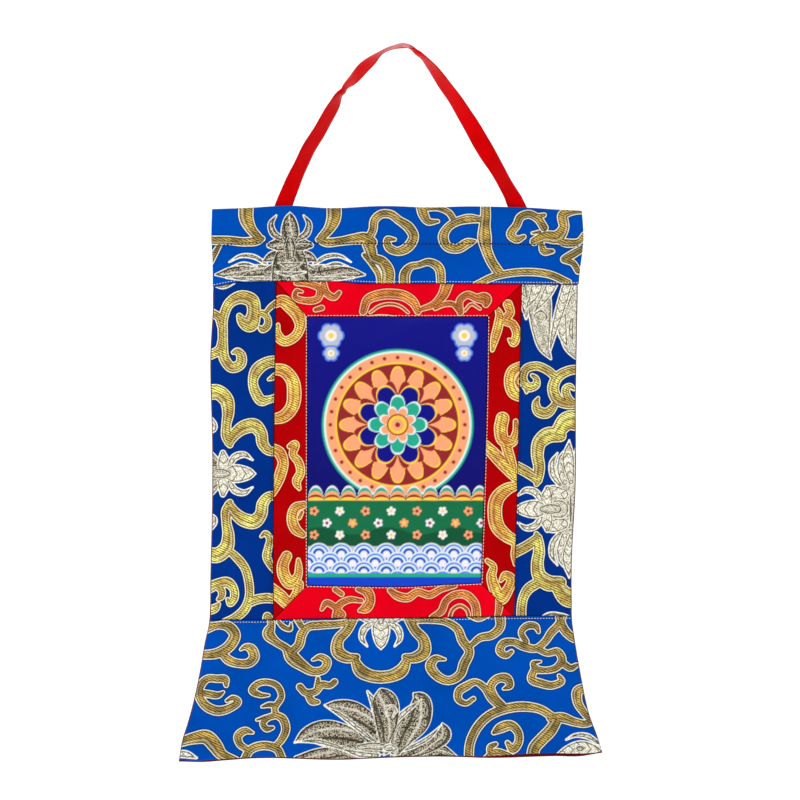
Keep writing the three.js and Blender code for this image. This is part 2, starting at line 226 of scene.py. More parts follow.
class Cloth:
    """A sheet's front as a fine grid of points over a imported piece: x, z and depth in metres, and
    how far each point is from the nearest edge."""

    def __init__(self, node, step, hem, seed):
        spots, front, back = faces_of(node)
        foot, top, left, right = rim_of(spots, front)
        wide = np.linalg.norm(np.diff(foot, axis=0), axis=1).sum()
        tall = np.linalg.norm(np.diff(left, axis=0), axis=1).sum()
        self.node, self.wide, self.tall, self.seed = node, wide, tall, seed
        self.u, self.v = spaced(wide, step, hem), spaced(tall, step, hem)
        u, v = np.meshgrid(self.u, self.v)
        sides = (foot, self.u), (top, self.u), (left, self.v), (right, self.v)
        flat = self.patch([smooth_line(side, shares) for side, shares in sides], u, v)
        self.x, self.z = flat[..., 0], flat[..., 2]
        self.y = self.soft_depth(spots, front, -1)
        self.back = self.soft_depth(spots, back, 1)
        self.edge = np.minimum(np.minimum(u, 1 - u) * wide, np.minimum(v, 1 - v) * tall)

    @staticmethod
    def patch(lines, u, v):
        """A surface between four side lines."""
        foot, top, left, right = lines
        u, v = u[..., None], v[..., None]
        between = (1 - v) * foot[None] + v * top[None] + (1 - u) * left[:, None] + u * right[:, None]
        ends = (1 - u) * (1 - v) * foot[0] + u * (1 - v) * foot[-1] + (1 - u) * v * top[0] + u * v * top[-1]
        return between - ends

    def soft_depth(self, spots, corners, side):
        """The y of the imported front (side -1) or back (side 1), read on a coarse grid, smoothed
        across and spread over the fine one."""
        tree = BVHTree.FromPolygons(spots.tolist(), corners.tolist())

        def depth_at(x, z):
            hit = tree.ray_cast(Vector((x, side, z)), Vector((0, -side, 0)))[0]
            return (hit or tree.find_nearest(Vector((x, 0, z)))[0]).y

        row_step = 1 * MM if self.tall < 60 * MM else 3 * MM
        coarse_u = np.linspace(0, 1, max(6, round(self.wide / (3 * MM))))
        coarse_v = np.linspace(0, 1, max(8, round(self.tall / row_step)))
        columns = np.unique(np.clip(np.searchsorted(self.u, coarse_u), 0, len(self.u) - 1))
        rows = np.unique(np.clip(np.searchsorted(self.v, coarse_v), 0, len(self.v) - 1))
        chosen = np.ix_(rows, columns)
        depth = np.vectorize(depth_at)(self.x[chosen], self.z[chosen])
        for _ in range(2):
            depth[:, 1:-1] = depth[:, 1:-1] * 0.5 + (depth[:, :-2] + depth[:, 2:]) * 0.25
        wide = smooth_line_rows(depth, self.u[columns], self.u)
        return smooth_line_rows(wide.T, self.v[rows], self.v).T


def smooth_line_rows(rows, at, spots):
    """Each row of values, known at some shares, read off smoothly at other shares."""
    slope = np.gradient(rows, at, axis=1)
    i = np.clip(np.searchsorted(at, spots, side="right") - 1, 0, len(at) - 2)
    span = at[i + 1] - at[i]
    t = (spots - at[i]) / span
    blend = t * t * (3 - 2 * t)
    turn_out = slope[:, i] * span * t * (1 - t) ** 2
    turn_in = slope[:, i + 1] * span * t * t * (1 - t)
    return rows[:, i] + (rows[:, i + 1] - rows[:, i]) * blend + turn_out - turn_in


# Woven figures in millimetres, drawn as a traditional lotus and cloud scroll. Each stroke
# is a line of (x, z, width) points. A mirrored group is written once.
def mirrored(strokes, x=None, z=None):
    """The strokes turned over about an upright line at x or a level line at z."""
    flip_x = (lambda v: v) if x is None else (lambda v: 2 * x - v)
    flip_z = (lambda v: v) if z is None else (lambda v: 2 * z - v)
    return [[(flip_x(a), flip_z(b), w) for a, b, w in stroke] for stroke in strokes]


LEFT_FRAME = [
    [(-110, -190.5, 8.5), (-103.5, -190.5, 8.5), (-99, -194.5, 8), (-97.9, -201, 6.8), (-99, -209, 5.5),
     (-98.8, -215, 6), (-97, -219.5, 4)],
    [(-97.5, -218, 5.5), (-94, -213.5, 6.5), (-89, -209.8, 7.8), (-83.5, -209, 8), (-79.8, -213, 7),
     (-78.7, -219, 6.5), (-76, -222.5, 5.5), (-70, -223.5, 5)],
]
LEFT_PANEL_GOLD = LEFT_FRAME + mirrored(LEFT_FRAME, z=-235.6) + [
    [(-100.5, -169, 5), (-101, -158, 5.5), (-100.5, -148, 5.5), (-97, -140.5, 6), (-90.5, -137.5, 7.5),
     (-85, -139.5, 8), (-83.8, -146, 7.5), (-86, -152.5, 9), (-90, -151, 6), (-91.8, -148, 3.5)],
    [(-107.5, -146, 5), (-103.5, -148.5, 5), (-101.5, -154, 5)],
    [(-101, -160, 5), (-103, -167, 5.5), (-107.5, -169.5, 5.5)],
    [(-101, -165, 5.5), (-100, -172, 6), (-95.5, -176.7, 6), (-91, -174.5, 6), (-90.8, -170, 5.5),
     (-93, -167.5, 4), (-95.2, -168.3, 2.5)],
    [(-83, -148, 4), (-79, -146.5, 4), (-76.3, -149, 4), (-76.3, -153.5, 4.5), (-79, -155.5, 4), (-80.8, -154, 2)],
    [(-77, -146, 3), (-74.5, -143, 3.5), (-71, -140.5, 4)],
    [(-70, -173, 6.5), (-76.5, -174, 6.5), (-82, -178, 7), (-84.2, -184, 5.5), (-82.5, -191, 6),
     (-79.5, -195, 6), (-75.5, -194.5, 4.5), (-70, -193, 5)],
    [(-71, -180, 3), (-73, -182, 3.5), (-75.5, -183.3, 2)],
    [(-98, -278, 4), (-93.5, -282, 5), (-89, -287.5, 5), (-86.5, -296, 5), (-86.3, -304, 5),
     (-88.5, -310.5, 5.5), (-94, -315.5, 5), (-100, -318, 4)],
    [(-86.5, -307, 6), (-82, -305.5, 5.5), (-77, -304.8, 5.5), (-70, -305.5, 5.5)],
    [(-110, -300, 6), (-104, -297, 6), (-98, -296.2, 6), (-94.8, -300, 5), (-94.8, -305, 4.8),
     (-97, -307.8, 3.8), (-98.3, -305.5, 2.5)],
    [(-104, -298, 4.5), (-101.5, -301, 4.5), (-101.8, -304, 4), (-103.5, -305.5, 2.5)],
    [(-110, -312, 5), (-105.5, -310.5, 5), (-103.2, -308.2, 2.5)],
    [(-79.7, -270.5, 2), (-77.3, -268.8, 3.5), (-75, -271.5, 4), (-75.8, -277, 4.5), (-76.5, -281.5, 5),
     (-74.5, -286.5, 4), (-71.5, -291, 2.5)],
    [(-78, -318, 2.5), (-76.3, -314.5, 4), (-74, -316.5, 3)],
]

RIGHT_FRAME = [
    [(99, -206.5, 12), (90.5, -206.3, 10.5), (85.3, -212, 8)],
    [(86.5, -214.5, 7), (80, -214.2, 9), (75, -218.2, 8), (73.8, -225, 7), (74.8, -232, 6.5),
     (74, -238.5, 5.5), (73.3, -241.5, 3)],
    [(74, -239, 5.5), (69, -235.4, 6), (60, -230.5, 6)],
]
RIGHT_PANEL_GOLD = RIGHT_FRAME + mirrored(RIGHT_FRAME, z=-255.3) + [
    [(84.5, -182.5, 5), (79.5, -178.2, 5), (73, -175.8, 5), (67.5, -177.5, 5), (65.8, -183, 5),
     (69, -187.6, 5.5), (73.3, -186, 4.5), (73, -182.5, 3.5), (71, -181, 2.5)],
    [(67, -186, 4), (67.8, -190.5, 2)],
    [(98, -177.5, 5), (91, -178.5, 5.5), (85.2, -182, 6), (82.6, -188, 6.5), (84.6, -194, 6.5),
     (89.5, -196.8, 5.5), (98, -196.2, 5.5)],
    [(92.5, -196, 5), (90, -192, 5), (89.8, -188.3, 4.5), (92, -187, 3.5), (94, -188.5, 2.5)],
    [(74.3, -193.5, 2), (73, -197, 4.5), (74.5, -201, 6), (78.8, -202, 6), (82, -199.5, 5), (83.5, -197, 4)],
    [(73.5, -296.5, 6), (69, -299.5, 6), (66, -304.5, 5.5), (65, -310, 5.5), (65, -317, 5.5)],
]

BAND_BRANCH = [
    [(-110, -106, 5), (-98, -106, 5), (-88, -106.8, 5), (-81.5, -106, 5), (-79, -105, 3.5)],
    [(-88, -86, 8.5), (-87.8, -94, 8), (-85, -100, 6), (-81, -104.5, 5)],
]
BAND_GOLD = BAND_BRANCH + mirrored(BAND_BRANCH[1:], x=-63.6) + [
    [(-103, -109, 3), (-105.5, -113, 4), (-108, -118, 4)],
    [(-48, -105.5, 3.5), (-44, -107, 5), (-36, -106.5, 5), (-28, -105.3, 6), (-22, -105, 7), (-18, -107, 6)],
    [(-20, -105, 5), (-17.5, -100, 5), (-16.8, -95, 5), (-13, -91.5, 5), (-8, -91.5, 5), (-3, -95, 5),
     (2.5, -99, 6), (5, -103.5, 6), (2, -109.5, 6), (-4, -112, 5), (-9, -109.5, 5), (-9.5, -105.5, 4),
     (-5.5, -105.5, 2.5)],
    [(-22, -106, 5), (-19, -111, 7), (-17.5, -115.5, 6), (-12.5, -118, 6.5), (-9.5, -122.5, 7.5),
     (-9.5, -131, 7.5)],
    [(-22.5, -114, 3), (-17.5, -120, 3.5), (-14.5, -125, 3.5), (-14, -131, 3)],
    [(0, -131, 6), (0.5, -124, 6), (3.5, -120.5, 4.5), (8, -119.5, 4), (13.5, -118, 4.5), (18.5, -120.5, 5.5),
     (20.5, -131, 5)],
    [(9, -86, 6), (10.5, -91.5, 6), (13, -95.5, 4.5), (18.5, -95.5, 2.5)],
    [(12, -88.5, 3), (20, -88.5, 3.5), (25, -91, 4), (27, -94, 4)],
    [(42, -94.5, 4), (36, -94, 5.5), (29.5, -95.5, 5), (24, -99, 5), (21.5, -104, 6), (24, -109.5, 5.5),
     (29.5, -110.5, 5.5), (35, -107.5, 5.5), (39, -106.5, 2.5)],
    [(45, -86, 5.5), (45, -92, 6), (44.5, -98, 6.5), (44.5, -105, 8), (45.3, -110, 6.5), (48, -117, 6),
     (52.5, -124, 6)],
    [(40, -130.5, 4), (50, -126, 4.5), (60, -124, 4.5), (70, -123.5, 4.5), (81, -125, 4.5), (91, -129.5, 4.5)],
    [(66.3, -104, 3), (62.5, -105.5, 4.5), (59, -103, 5), (62.3, -97.5, 5), (64.5, -93, 5), (69, -91.5, 5),
     (74, -94, 5), (77.5, -99, 5)],
    [(74, -93, 4), (77.5, -92, 3)],
    [(72, -106.5, 5), (78, -104, 6.5), (85, -104, 7.5), (88.5, -99, 6), (88, -92, 6), (94, -90, 4),
     (100, -89.5, 4)],
    [(71, -102, 2), (75, -101.5, 3)],
    [(76, -108, 3.5), (77.5, -112, 4.5), (82.3, -112, 3)],
    [(85, -106, 4), (91, -107.5, 5), (97, -106.5, 4), (100, -103, 4)],
    [(98, -111, 4.5), (92, -114.5, 5), (88.5, -116.5, 4), (93.5, -118.5, 4), (96.5, -123, 4)],
]

SKIRT_FRAME = [
    [(-28.5, -316, 6), (-32, -322.5, 6), (-37, -328.5, 6.5), (-37, -334.5, 7.5), (-31, -338, 6), (-26.5, -337.5, 4)],
    [(-27.5, -339.5, 5), (-24.5, -345, 7.5), (-18.5, -348, 7), (-13, -348.7, 7)],
]
SKIRT_GOLD = SKIRT_FRAME + mirrored(SKIRT_FRAME, x=-13.1) + [
    [(-110, -321.5, 6), (-104, -320, 4.5), (-98, -320.5, 6), (-94.3, -325, 6.5), (-97, -331, 6.5),
     (-103, -335, 6), (-114, -336.5, 5)],
    [(-101.5, -335, 5), (-98, -339, 5.5), (-92, -341, 5), (-86, -340.5, 5.5), (-83.5, -337.5, 6),
     (-85, -333, 5.5), (-88.5, -331.8, 3.5), (-91, -333.3, 2)],
    [(-99, -353, 3), (-99.5, -349.8, 4.5), (-104, -349.5, 4.5), (-109.5, -349.5, 4.5), (-113, -353, 5),
     (-114, -358.5, 5), (-110.5, -364, 5.5), (-104, -367, 5.5), (-97, -365.5, 5), (-92.5, -361.8, 4.5),
     (-95, -360, 3.5), (-98.5, -361.5, 2.5)],
    [(-113, -357, 4), (-108, -358, 4.5), (-103.5, -358.5, 4), (-100.5, -356.8, 2)],
    [(-75.3, -358.5, 2), (-80, -358.3, 3.5), (-84.5, -355.8, 4.5), (-82, -352.5, 4), (-76, -351.3, 3.8),
     (-70.5, -353.5, 4), (-68.3, -359, 4), (-71.5, -364.5, 4)],
    [(-71, -364.3, 3.5), (-75, -363.7, 3.5), (-79, -364.8, 2)],
    [(-72, -365, 4), (-71.5, -368.5, 4), (-67.5, -371.5, 5), (-65.8, -377, 5), (-68, -382.5, 4.5), (-71, -386, 4)],
    [(-71, -369.5, 4), (-76, -371, 4), (-78.5, -374, 4), (-76.5, -376.8, 4), (-73, -376.3, 2.5)],
    [(-77, -370.5, 3), (-81.8, -372, 2)],
    [(-84, -379, 2), (-88.5, -378, 4.5), (-92.3, -381, 5), (-91.3, -385, 4.5), (-87.5, -388, 4)],
    [(-89, -394.5, 5), (-85.5, -388.5, 5), (-77.5, -386, 5), (-70.5, -388, 5), (-67.5, -394, 5)],
    [(-125, -384.5, 5), (-117, -382, 6.5), (-109.5, -381.5, 8), (-104.8, -386, 8), (-101.5, -390.5, 6.5),
     (-93, -394, 4)],
    [(-74.5, -316, 4), (-74, -320, 4.5), (-75.5, -324.5, 7), (-71.5, -329, 5), (-66, -332.5, 5),
     (-62.5, -337.5, 8), (-57, -342, 6.5), (-50.5, -345.5, 5), (-44.5, -344, 5), (-43, -340, 5),
     (-46.5, -337.5, 4), (-51, -339, 2)],
    [(-70, -318, 3), (-67, -321, 3.5), (-63.5, -322, 3), (-63, -319, 2)],
    [(-63, -335, 5), (-58.5, -330.5, 5.5), (-57, -325, 5.5), (-54, -321, 5), (-47, -319.8, 5),
     (-38, -319.3, 4.5), (-30, -318, 4.5)],
    [(-60, -316, 4), (-57.5, -320, 4)],
    [(4, -317.5, 3.5), (14, -317, 4), (24, -318.3, 4.5), (29.5, -322, 5), (32, -328, 5.5), (36, -334.5, 5.5),
     (33, -341.5, 6), (31, -347, 5.5), (24.5, -350.5, 5), (18, -347.8, 5.5), (14.5, -342, 6),
     (17, -338.5, 4.5), (22.5, -338.8, 2)],
    [(37, -331, 3.5), (42, -326.8, 4.5), (48.5, -325.3, 5), (53, -321, 5.5), (53, -314, 6)],
    [(35, -314, 3), (41, -316.5, 3), (47, -314, 3)],
    [(59.5, -334.5, 3), (56.5, -336.5, 4), (53, -334, 5), (54.5, -330.3, 5), (60, -329, 4.5), (66, -331.5, 5),
     (73, -332.7, 4.5), (78, -329, 4.5), (81.5, -324, 5), (86, -319, 5), (88, -314, 5)],
    [(74.5, -323.5, 2.5), (73, -320.5, 4), (68, -320.3, 4.5), (65, -323.5, 4), (67.5, -329, 4)],
    [(86, -314, 5), (88, -321, 5.5), (93, -326.5, 5), (99, -329, 4)],
    [(74, -333, 4), (79.5, -335.3, 4), (85, -334.5, 4.5), (87.5, -339, 5), (85, -342.8, 4.5),
     (78, -344.8, 4), (72.5, -343.5, 4.5), (71.5, -341, 3.5), (75.5, -340, 2)],
    [(88, -341, 4.5), (92.5, -343.5, 4), (95.5, -342, 3)],
    [(72, -344.5, 4.5), (70.5, -349.5, 5), (76, -352, 5), (82.5, -353, 4.5), (87.3, -350.5, 4), (85.8, -347.8, 2.5)],
    [(38.3, -360.5, 3), (34, -363, 3.5), (29.8, -360.5, 4.5), (30, -356.8, 5), (34.5, -353.5, 5),
     (39.5, -351.3, 4), (44, -354, 4.5), (48.5, -360.5, 5), (54, -365, 5)],
    [(55, -364, 3.5), (50.5, -359, 3.5), (48, -353.5, 5), (51.5, -349.5, 5), (57, -349.5, 5.5),
     (58.5, -353, 4.5), (55, -355, 2)],
    [(35.5, -394, 5.5), (36.3, -385, 5.5), (39.8, -377, 5.5), (46.5, -370, 5.5), (56, -366, 5.5),
     (67, -364.7, 5.5), (76, -366.5, 5), (81.5, -370, 5)],
    [(81, -371, 5), (87, -370.8, 6), (94, -373, 5), (100, -374, 4.5), (106, -372, 4.5)],
    [(84.5, -372, 6), (81, -377.5, 7), (76, -382.5, 7), (72, -387, 7), (70.5, -394, 7)],
    [(49.5, -379, 3), (53.5, -376.3, 6), (59, -375, 5.5), (63, -379, 5), (63, -384.5, 5), (60, -388, 5),
     (57, -384.5, 3)],
    [(45, -394, 5), (50, -390, 5), (57, -391.5, 4.5), (62, -394, 4)],
    [(50.5, -385.3, 3), (47.5, -387, 4), (47.5, -391, 4)],
    [(101, -354, 5), (96, -356.5, 6), (96, -362, 5.5), (99.5, -368, 4.5), (104, -373, 4)],
    [(-58, -354, 4.5), (-55, -357, 4.5), (-49.5, -356.5, 4.5), (-46, -352.8, 4.5), (-41, -353, 4),
     (-38.8, -351.2, 4)],
    [(-54, -357.5, 4), (-51, -362, 4.5), (-48, -362.3, 3)],
    [(-48.5, -355, 4), (-48, -349.5, 3)],
]

BORDER_TOP_GOLD = [
    [(-60, -129.5, 3.5), (-52, -130.5, 4), (-47, -133, 4.5), (-48, -138, 4.5), (-55, -139.5, 4),
     (-61, -137, 3.5), (-60, -134, 3), (-57, -134.5, 2)],
    [(-45, -130, 4), (-43.5, -135, 4.5), (-39, -137.5, 4), (-36.3, -135, 3)],
    [(-49.5, -144.5, 3), (-46, -143.5, 3.5)],
    [(-23, -145.5, 4.5), (-20.5, -139, 5.5), (-14, -136.3, 6), (-7, -135.8, 6), (0, -137, 6), (5, -140.5, 5.5),
     (7.5, -145.5, 4)],
    [(-19, -146, 2), (-14, -142.5, 2.2), (-8, -141.3, 2.2), (-2, -142.8, 2.2), (2, -146, 2)],
    [(24, -129, 7), (21.5, -136, 6), (17, -141, 4.5), (9, -144.3, 3)],
    [(17, -144, 2.5), (22, -141.5, 3.5), (27, -141.5, 3.5), (30, -145, 3)],
    [(31, -146, 4), (31, -139, 4.5), (35, -136.2, 4.5), (40, -138, 5), (45, -138.5, 7), (45.3, -141.5, 4)],
    [(33.5, -145, 2), (37, -141.5, 2.2), (42, -144, 2)],
    [(-20, -149.3, 3), (-13, -148.5, 3), (-5, -149.3, 3)],
]
BORDER_FOOT_GOLD = [
    [(-38.5, -300, 3.5), (-35, -302.5, 3.5)],
    [(-26, -300, 3), (-20.5, -301.5, 6), (-19, -306, 5.5), (-21, -310, 6), (-25, -311.8, 2.5)],
    [(-46, -311, 2.5), (-43.5, -307.5, 4), (-39, -309.5, 4), (-35, -314, 5)],
    [(-38, -315, 5), (-36.5, -309, 4.5), (-31, -305.8, 4), (-24, -306.3, 3)],
    [(-8, -300.5, 3.5), (-4, -303.5, 5), (2, -304.5, 5), (7, -301.5, 4.5), (14, -303, 4.5), (20, -300, 4),
     (28, -298, 3)],
    [(15, -315.5, 3), (20.5, -312, 4.5), (23, -306.5, 4.5), (28, -303, 4.5), (34, -303, 5), (38.5, -307, 5),
     (40.3, -316, 5)],
    [(25, -316, 2.5), (27, -311, 2.5), (31, -309, 2.5), (34.8, -311.5, 2.5), (36, -316, 2.5)],
    [(53, -306, 5), (52.3, -312, 4), (51, -317, 3)],
]
BORDER_LEFT_GOLD = [
    [(-73, -141.5, 5), (-68.5, -139.5, 6.5), (-63.5, -142.5, 8), (-59, -148, 7.5), (-58, -154, 6),
     (-61.5, -160, 5.5), (-67, -162, 5.5), (-71, -158, 5.5), (-70.3, -153, 2.5)],
    [(-74, -177.5, 6), (-67, -178.5, 7), (-62.5, -183.5, 7.5), (-61.3, -191, 8), (-62.5, -198.5, 7.5),
     (-67, -203.7, 7), (-74, -205.5, 5.5)],
    [(-74, -221, 5), (-69.5, -224, 6.5), (-67.5, -229, 6), (-69, -236, 6.5), (-71.5, -243, 5), (-73, -247, 3)],
    [(-64, -220.5, 3), (-61, -219.5, 5), (-62, -225, 4.5), (-59, -229, 5), (-57.8, -235, 5), (-60, -240, 5),
     (-58.5, -244, 2.5)],
    [(-56, -253, 4.5), (-60.5, -254.5, 5.5), (-62.5, -260, 6), (-60.5, -266.5, 6), (-56.5, -269.5, 4)],
    [(-57, -257, 2.5), (-58.5, -260, 3)],
    [(-65.5, -281.5, 6), (-67.5, -286, 6.5), (-67, -292, 7), (-63.5, -296.5, 7), (-59.5, -293, 5),
     (-58.8, -287, 4), (-59, -283.5, 2.5)],
    [(-75, -299, 7), (-69.5, -303.5, 7.5), (-63.5, -308, 6.5), (-60, -303.5, 6.5), (-58.5, -297, 5)],
]
BORDER_RIGHT_GOLD = [
    [(50.5, -142.5, 2), (52.8, -147, 4.5), (52, -154, 5.5), (50.3, -160, 5), (48.8, -167, 2.5)],
    [(57.5, -141.5, 5.5), (58.8, -146, 5), (56, -150.5, 5), (60, -152.5, 5), (62.3, -158, 5), (60.5, -163, 4.5),
     (58, -161, 2)],
    [(53, -151, 4), (57, -150.5, 4)],
    [(65, -175.5, 5), (60, -178.5, 6), (58.3, -185, 6), (60.5, -191, 6), (65, -193.5, 5)],
    [(64.5, -180, 2.5), (62, -184.5, 2.5), (64.5, -189, 2.5)],
    [(54.5, -205, 7.5), (53.5, -211, 7.5), (55, -217, 7), (59.5, -218, 6), (62, -213, 4.5), (61.8, -206.5, 3)],
    [(45, -220, 6), (49.5, -224.5, 7), (55, -230.5, 7), (60, -236, 6), (62, -239.5, 3)],
    [(56, -218, 6), (58, -225, 6), (61, -233, 4)],
    [(63, -242, 4.5), (56.5, -244.5, 7), (51.5, -249.5, 8), (50.2, -257.5, 8), (52, -265.5, 8), (57, -270.5, 7),
     (62, -274, 6), (61.5, -281, 5), (61.5, -286, 2.5)],
    [(46, -284, 3), (49.3, -287, 4), (48.3, -292.5, 5.5), (50, -299, 6.5), (53.3, -305, 7.5), (57.5, -300, 6),
     (59.3, -294, 5.5), (56, -292, 4.5), (53.5, -295, 2.5)],
]


# Silver petals: each is a tone, from 0 for white to 1 for grey with a stipple, and a line of
# (x, z, width) points. A later petal lies over an earlier one.
WHITE, PALE, OLIVE, GREY = 0.0, 0.3, 0.5, 1.0


def lotus_bud(x, z, turn, shade_tone=0.0):
    """A lotus bud between two crescents on a fan of short petals. It points up at turn 0 and is
    drawn round the middle of its foot. The tone given last greys the whole bud, as painted shade of the sheen."""
    parts = [
        (WHITE, [(-11.5, -1.5, 3.4), (-5, -1, 7.5), (0, -1, 4)]),
        (WHITE, [(11.5, -1.5, 3.4), (5, -1, 7.5), (0, -1, 4)]),
        (WHITE, [(-3.5, 1.5, 3), (-9.4, 5.5, 4.4), (-10.6, 10, 3.6), (-7.6, 15, 1.2)]),
        (WHITE, [(3.5, 1.5, 3), (9.4, 5.5, 4.4), (10.6, 10, 3.6), (7.6, 15, 1.2)]),
        (WHITE, [(0, 0.5, 5), (0, 5.5, 10.4), (0, 10.5, 8.4), (0, 16.6, 1)]),
        (OLIVE, [(0, -7, 5.5), (0, -2.5, 6.5), (0, 1.5, 4)]),
    ]
    c, s = math.cos(math.radians(turn)), math.sin(math.radians(turn))
    return [
        (max(tone, shade_tone), [(x + a * c - b * s, z + a * s + b * c, w) for a, b, w in way])
        for tone, way in parts
    ]


def both_ways(petals, x=None, z=None):
    """The petals and the same ones turned over."""
    tones = [tone for tone, _ in petals]
    turned = mirrored([way for _, way in petals], x=x, z=z)
    return [pair for both in zip(petals, zip(tones, turned)) for pair in both]


BAND_SILVER = both_ways([
    (GREY, [(-105, -125, 1.5), (-96, -124, 7), (-84, -124, 9.5), (-72, -124.5, 10)]),
    (WHITE, [(-99, -126.6, 1.5), (-88, -127.3, 3), (-70, -127.5, 3)]),
    (WHITE, [(-97.5, -118, 1), (-91, -114.6, 2.4), (-84, -115, 3), (-77, -119, 2.2)]),
    (WHITE, [(-96, -120.5, 1), (-89.5, -119, 2.6), (-82, -120.5, 1.5)]),
    (GREY, [(-78.5, -117.5, 1.5), (-73, -115, 6.5), (-66, -116, 9)]),
    (GREY, [(-76, -123, 5), (-70, -121, 7), (-63.6, -121, 8)]),
], x=-63.6) + [
    (GREY, [(-63.6, -130, 22), (-63.6, -120, 20), (-63.6, -113, 15)]),
    (WHITE, [(-72, -123.5, 1.5), (-63.6, -124.6, 3), (-55, -123.5, 1.5)]),
    (OLIVE, [(-70, -118.5, 1.5), (-63.6, -120, 4), (-57, -118.5, 1.5)]),
# The band's bud is greyed as painted shade, where the satin's sheen leaves it dark.
] + lotus_bud(-63.6, -107.2, 0, GREY)

LEFT_PANEL_SILVER = both_ways([
    (WHITE, [(-109, -213, 2), (-106.4, -210, 5), (-109, -203, 2)]),
    (WHITE, [(-110, -224, 6), (-105.5, -229, 6), (-102, -233, 4)]),
    (GREY, [(-109, -229, 7), (-105, -232, 7), (-101, -234, 5)]),
], z=-235.6) + lotus_bud(-99.4, -235.6, -90) + [
    (WHITE, [(-107, -130, 2), (-101, -131.6, 3), (-95, -129.5, 2)]),
]

RIGHT_PANEL_SILVER = both_ways([
    (OLIVE, [(98, -231, 8), (93.5, -238, 9), (91, -248, 10), (91, -255.3, 10)]),
    (WHITE, [(86.5, -242, 3), (82.5, -236, 4), (82, -230, 3.6), (85, -224, 1)]),
    (WHITE, [(89, -240, 5), (86.6, -233, 4.6), (87, -227, 3.6), (90, -221.5, 1)]),
    (WHITE, [(92.5, -240, 4), (91, -228, 7.4), (91.5, -217, 1)]),
    (WHITE, [(97, -238, 3), (96.5, -226, 5), (96.8, -217, 2)]),
    (WHITE, [(88, -247, 7), (83.5, -246, 8), (80, -243.5, 2)]),
    (WHITE, [(84, -251, 5), (79.5, -250, 6.5), (76.5, -249, 3)]),
], z=-255.3) + [
    (PALE, [(86, -255.3, 11), (80, -255.3, 9), (75, -255.3, 5)]),
    (WHITE, [(92.3, -262, 2.2), (92.3, -255.3, 2.6), (92.3, -248, 2.2)]),
    (WHITE, [(83.6, -255.3, 4), (84, -255.3, 4)]),
] + lotus_bud(78, -255.3, 90) + [
    (WHITE, [(99, -126, 8), (94, -140, 8), (87, -151, 2)]),
    (WHITE, [(66, -126, 9), (67.5, -140, 7), (67.6, -149.5, 1.5)]),
    (PALE, [(97, -140, 12), (93, -154, 14), (92.5, -163, 10), (97.5, -173, 2)]),
    (WHITE, [(88, -148, 5), (88, -158, 5.5), (90.5, -165, 1.5)]),
    (WHITE, [(93, -150, 3), (92.5, -157, 3.6), (94, -163, 1)]),
    (OLIVE, [(73, -128, 15), (75, -142, 14), (76, -155, 11), (77.5, -165, 7), (81.3, -171.8, 1.5)]),
    (WHITE, [(92, -126, 6), (87, -143, 6), (83, -157, 4), (80.6, -168, 1.5)]),
    (WHITE, [(84, -126, 7), (79, -136, 6), (72, -146, 1.5)]),
    (WHITE, [(75, -126, 8), (72, -136, 6), (67.5, -144, 1.5)]),
    (WHITE, [(72.6, -152.5, 1), (72.4, -147.4, 2), (76, -145.2, 2.2), (79, -148.4, 2.2), (77, -152, 1.8)]),
    (WHITE, [(75, -316.5, 1.5), (80, -313.8, 2.4), (87, -314.2, 2.6), (93, -316, 2)]),
]

SKIRT_SILVER = lotus_bud(-13.1, -316.6, 180) + [
    (GREY, [(-60, -393, 3), (-48, -391.5, 8), (-34, -391, 9), (-20, -392, 8)]),
    (GREY, [(-61, -384.5, 1), (-54, -380, 8), (-43, -379.5, 15), (-30, -384, 15), (-18, -390, 10)]),
    (WHITE, [(-60.5, -384, 1), (-50, -383.6, 3), (-38, -386.5, 3), (-26, -391.5, 2)]),
    (GREY, [(-44.5, -364, 1), (-37, -364.5, 7), (-28, -368.5, 13), (-19, -377, 14), (-11, -387, 9)]),
    (WHITE, [(-44, -364.5, 1), (-36, -369, 3), (-26, -376.5, 3.4), (-14, -386, 2.4)]),
    (GREY, [(29, -392.5, 2), (18, -388.5, 8), (6, -390, 9), (-5, -392, 6)]),
    (GREY, [(21, -374, 1), (21.5, -380.5, 9), (13, -386, 9), (0, -391.5, 5)]),
    (WHITE, [(20.6, -375, 1), (14, -381.5, 3), (4, -387, 3), (-6, -390, 2)]),
    (GREY, [(5, -357.5, 1), (9.5, -363, 11), (7, -372, 15), (0, -380, 13), (-5, -388, 8)]),
    (WHITE, [(9.5, -361, 1), (2, -366.5, 3.4), (-6, -373.5, 3.6), (-12, -379, 2)]),
    (WHITE, [(-20.5, -356.5, 1.5), (-17.5, -362, 4), (-15.5, -370, 4), (-14, -380, 3)]),
    (GREY, [(-12.5, -357.5, 6), (-10.5, -364, 15), (-10, -373, 13), (-11, -383, 7)]),
    (WHITE, [(-10, -370, 1), (-10, -366, 2), (-7, -364.4, 2), (-4.6, -367.4, 2), (-6.6, -370, 1.4)]),
    (OLIVE, [(-25, -387, 4), (-16, -386.5, 5), (-8, -388, 4)]),
    (WHITE, [(-33, -388.5, 2), (-24, -391, 4), (-15, -391.5, 3)]),
    (WHITE, [(-11.4, -391.5, 1), (-11, -387.2, 2), (-7.4, -385.8, 2), (-4.4, -388.6, 2), (-6, -391.6, 1.4)]),
    (WHITE, [(-128, -390.6, 3), (-121, -390.6, 4.4), (-115, -392.6, 1.5)]),
    (WHITE, [(89.5, -382.8, 1.2), (94, -380.6, 2.4), (101, -380.8, 3.4), (108, -385, 2.4)]),
    (WHITE, [(83.5, -392, 2), (91, -388.5, 6), (98, -387.6, 9), (105, -388.4, 6), (111, -391, 2)]),
    (OLIVE, [(95, -387.6, 1.6), (97, -387.6, 4), (99.5, -387.6, 1.6)]),
]


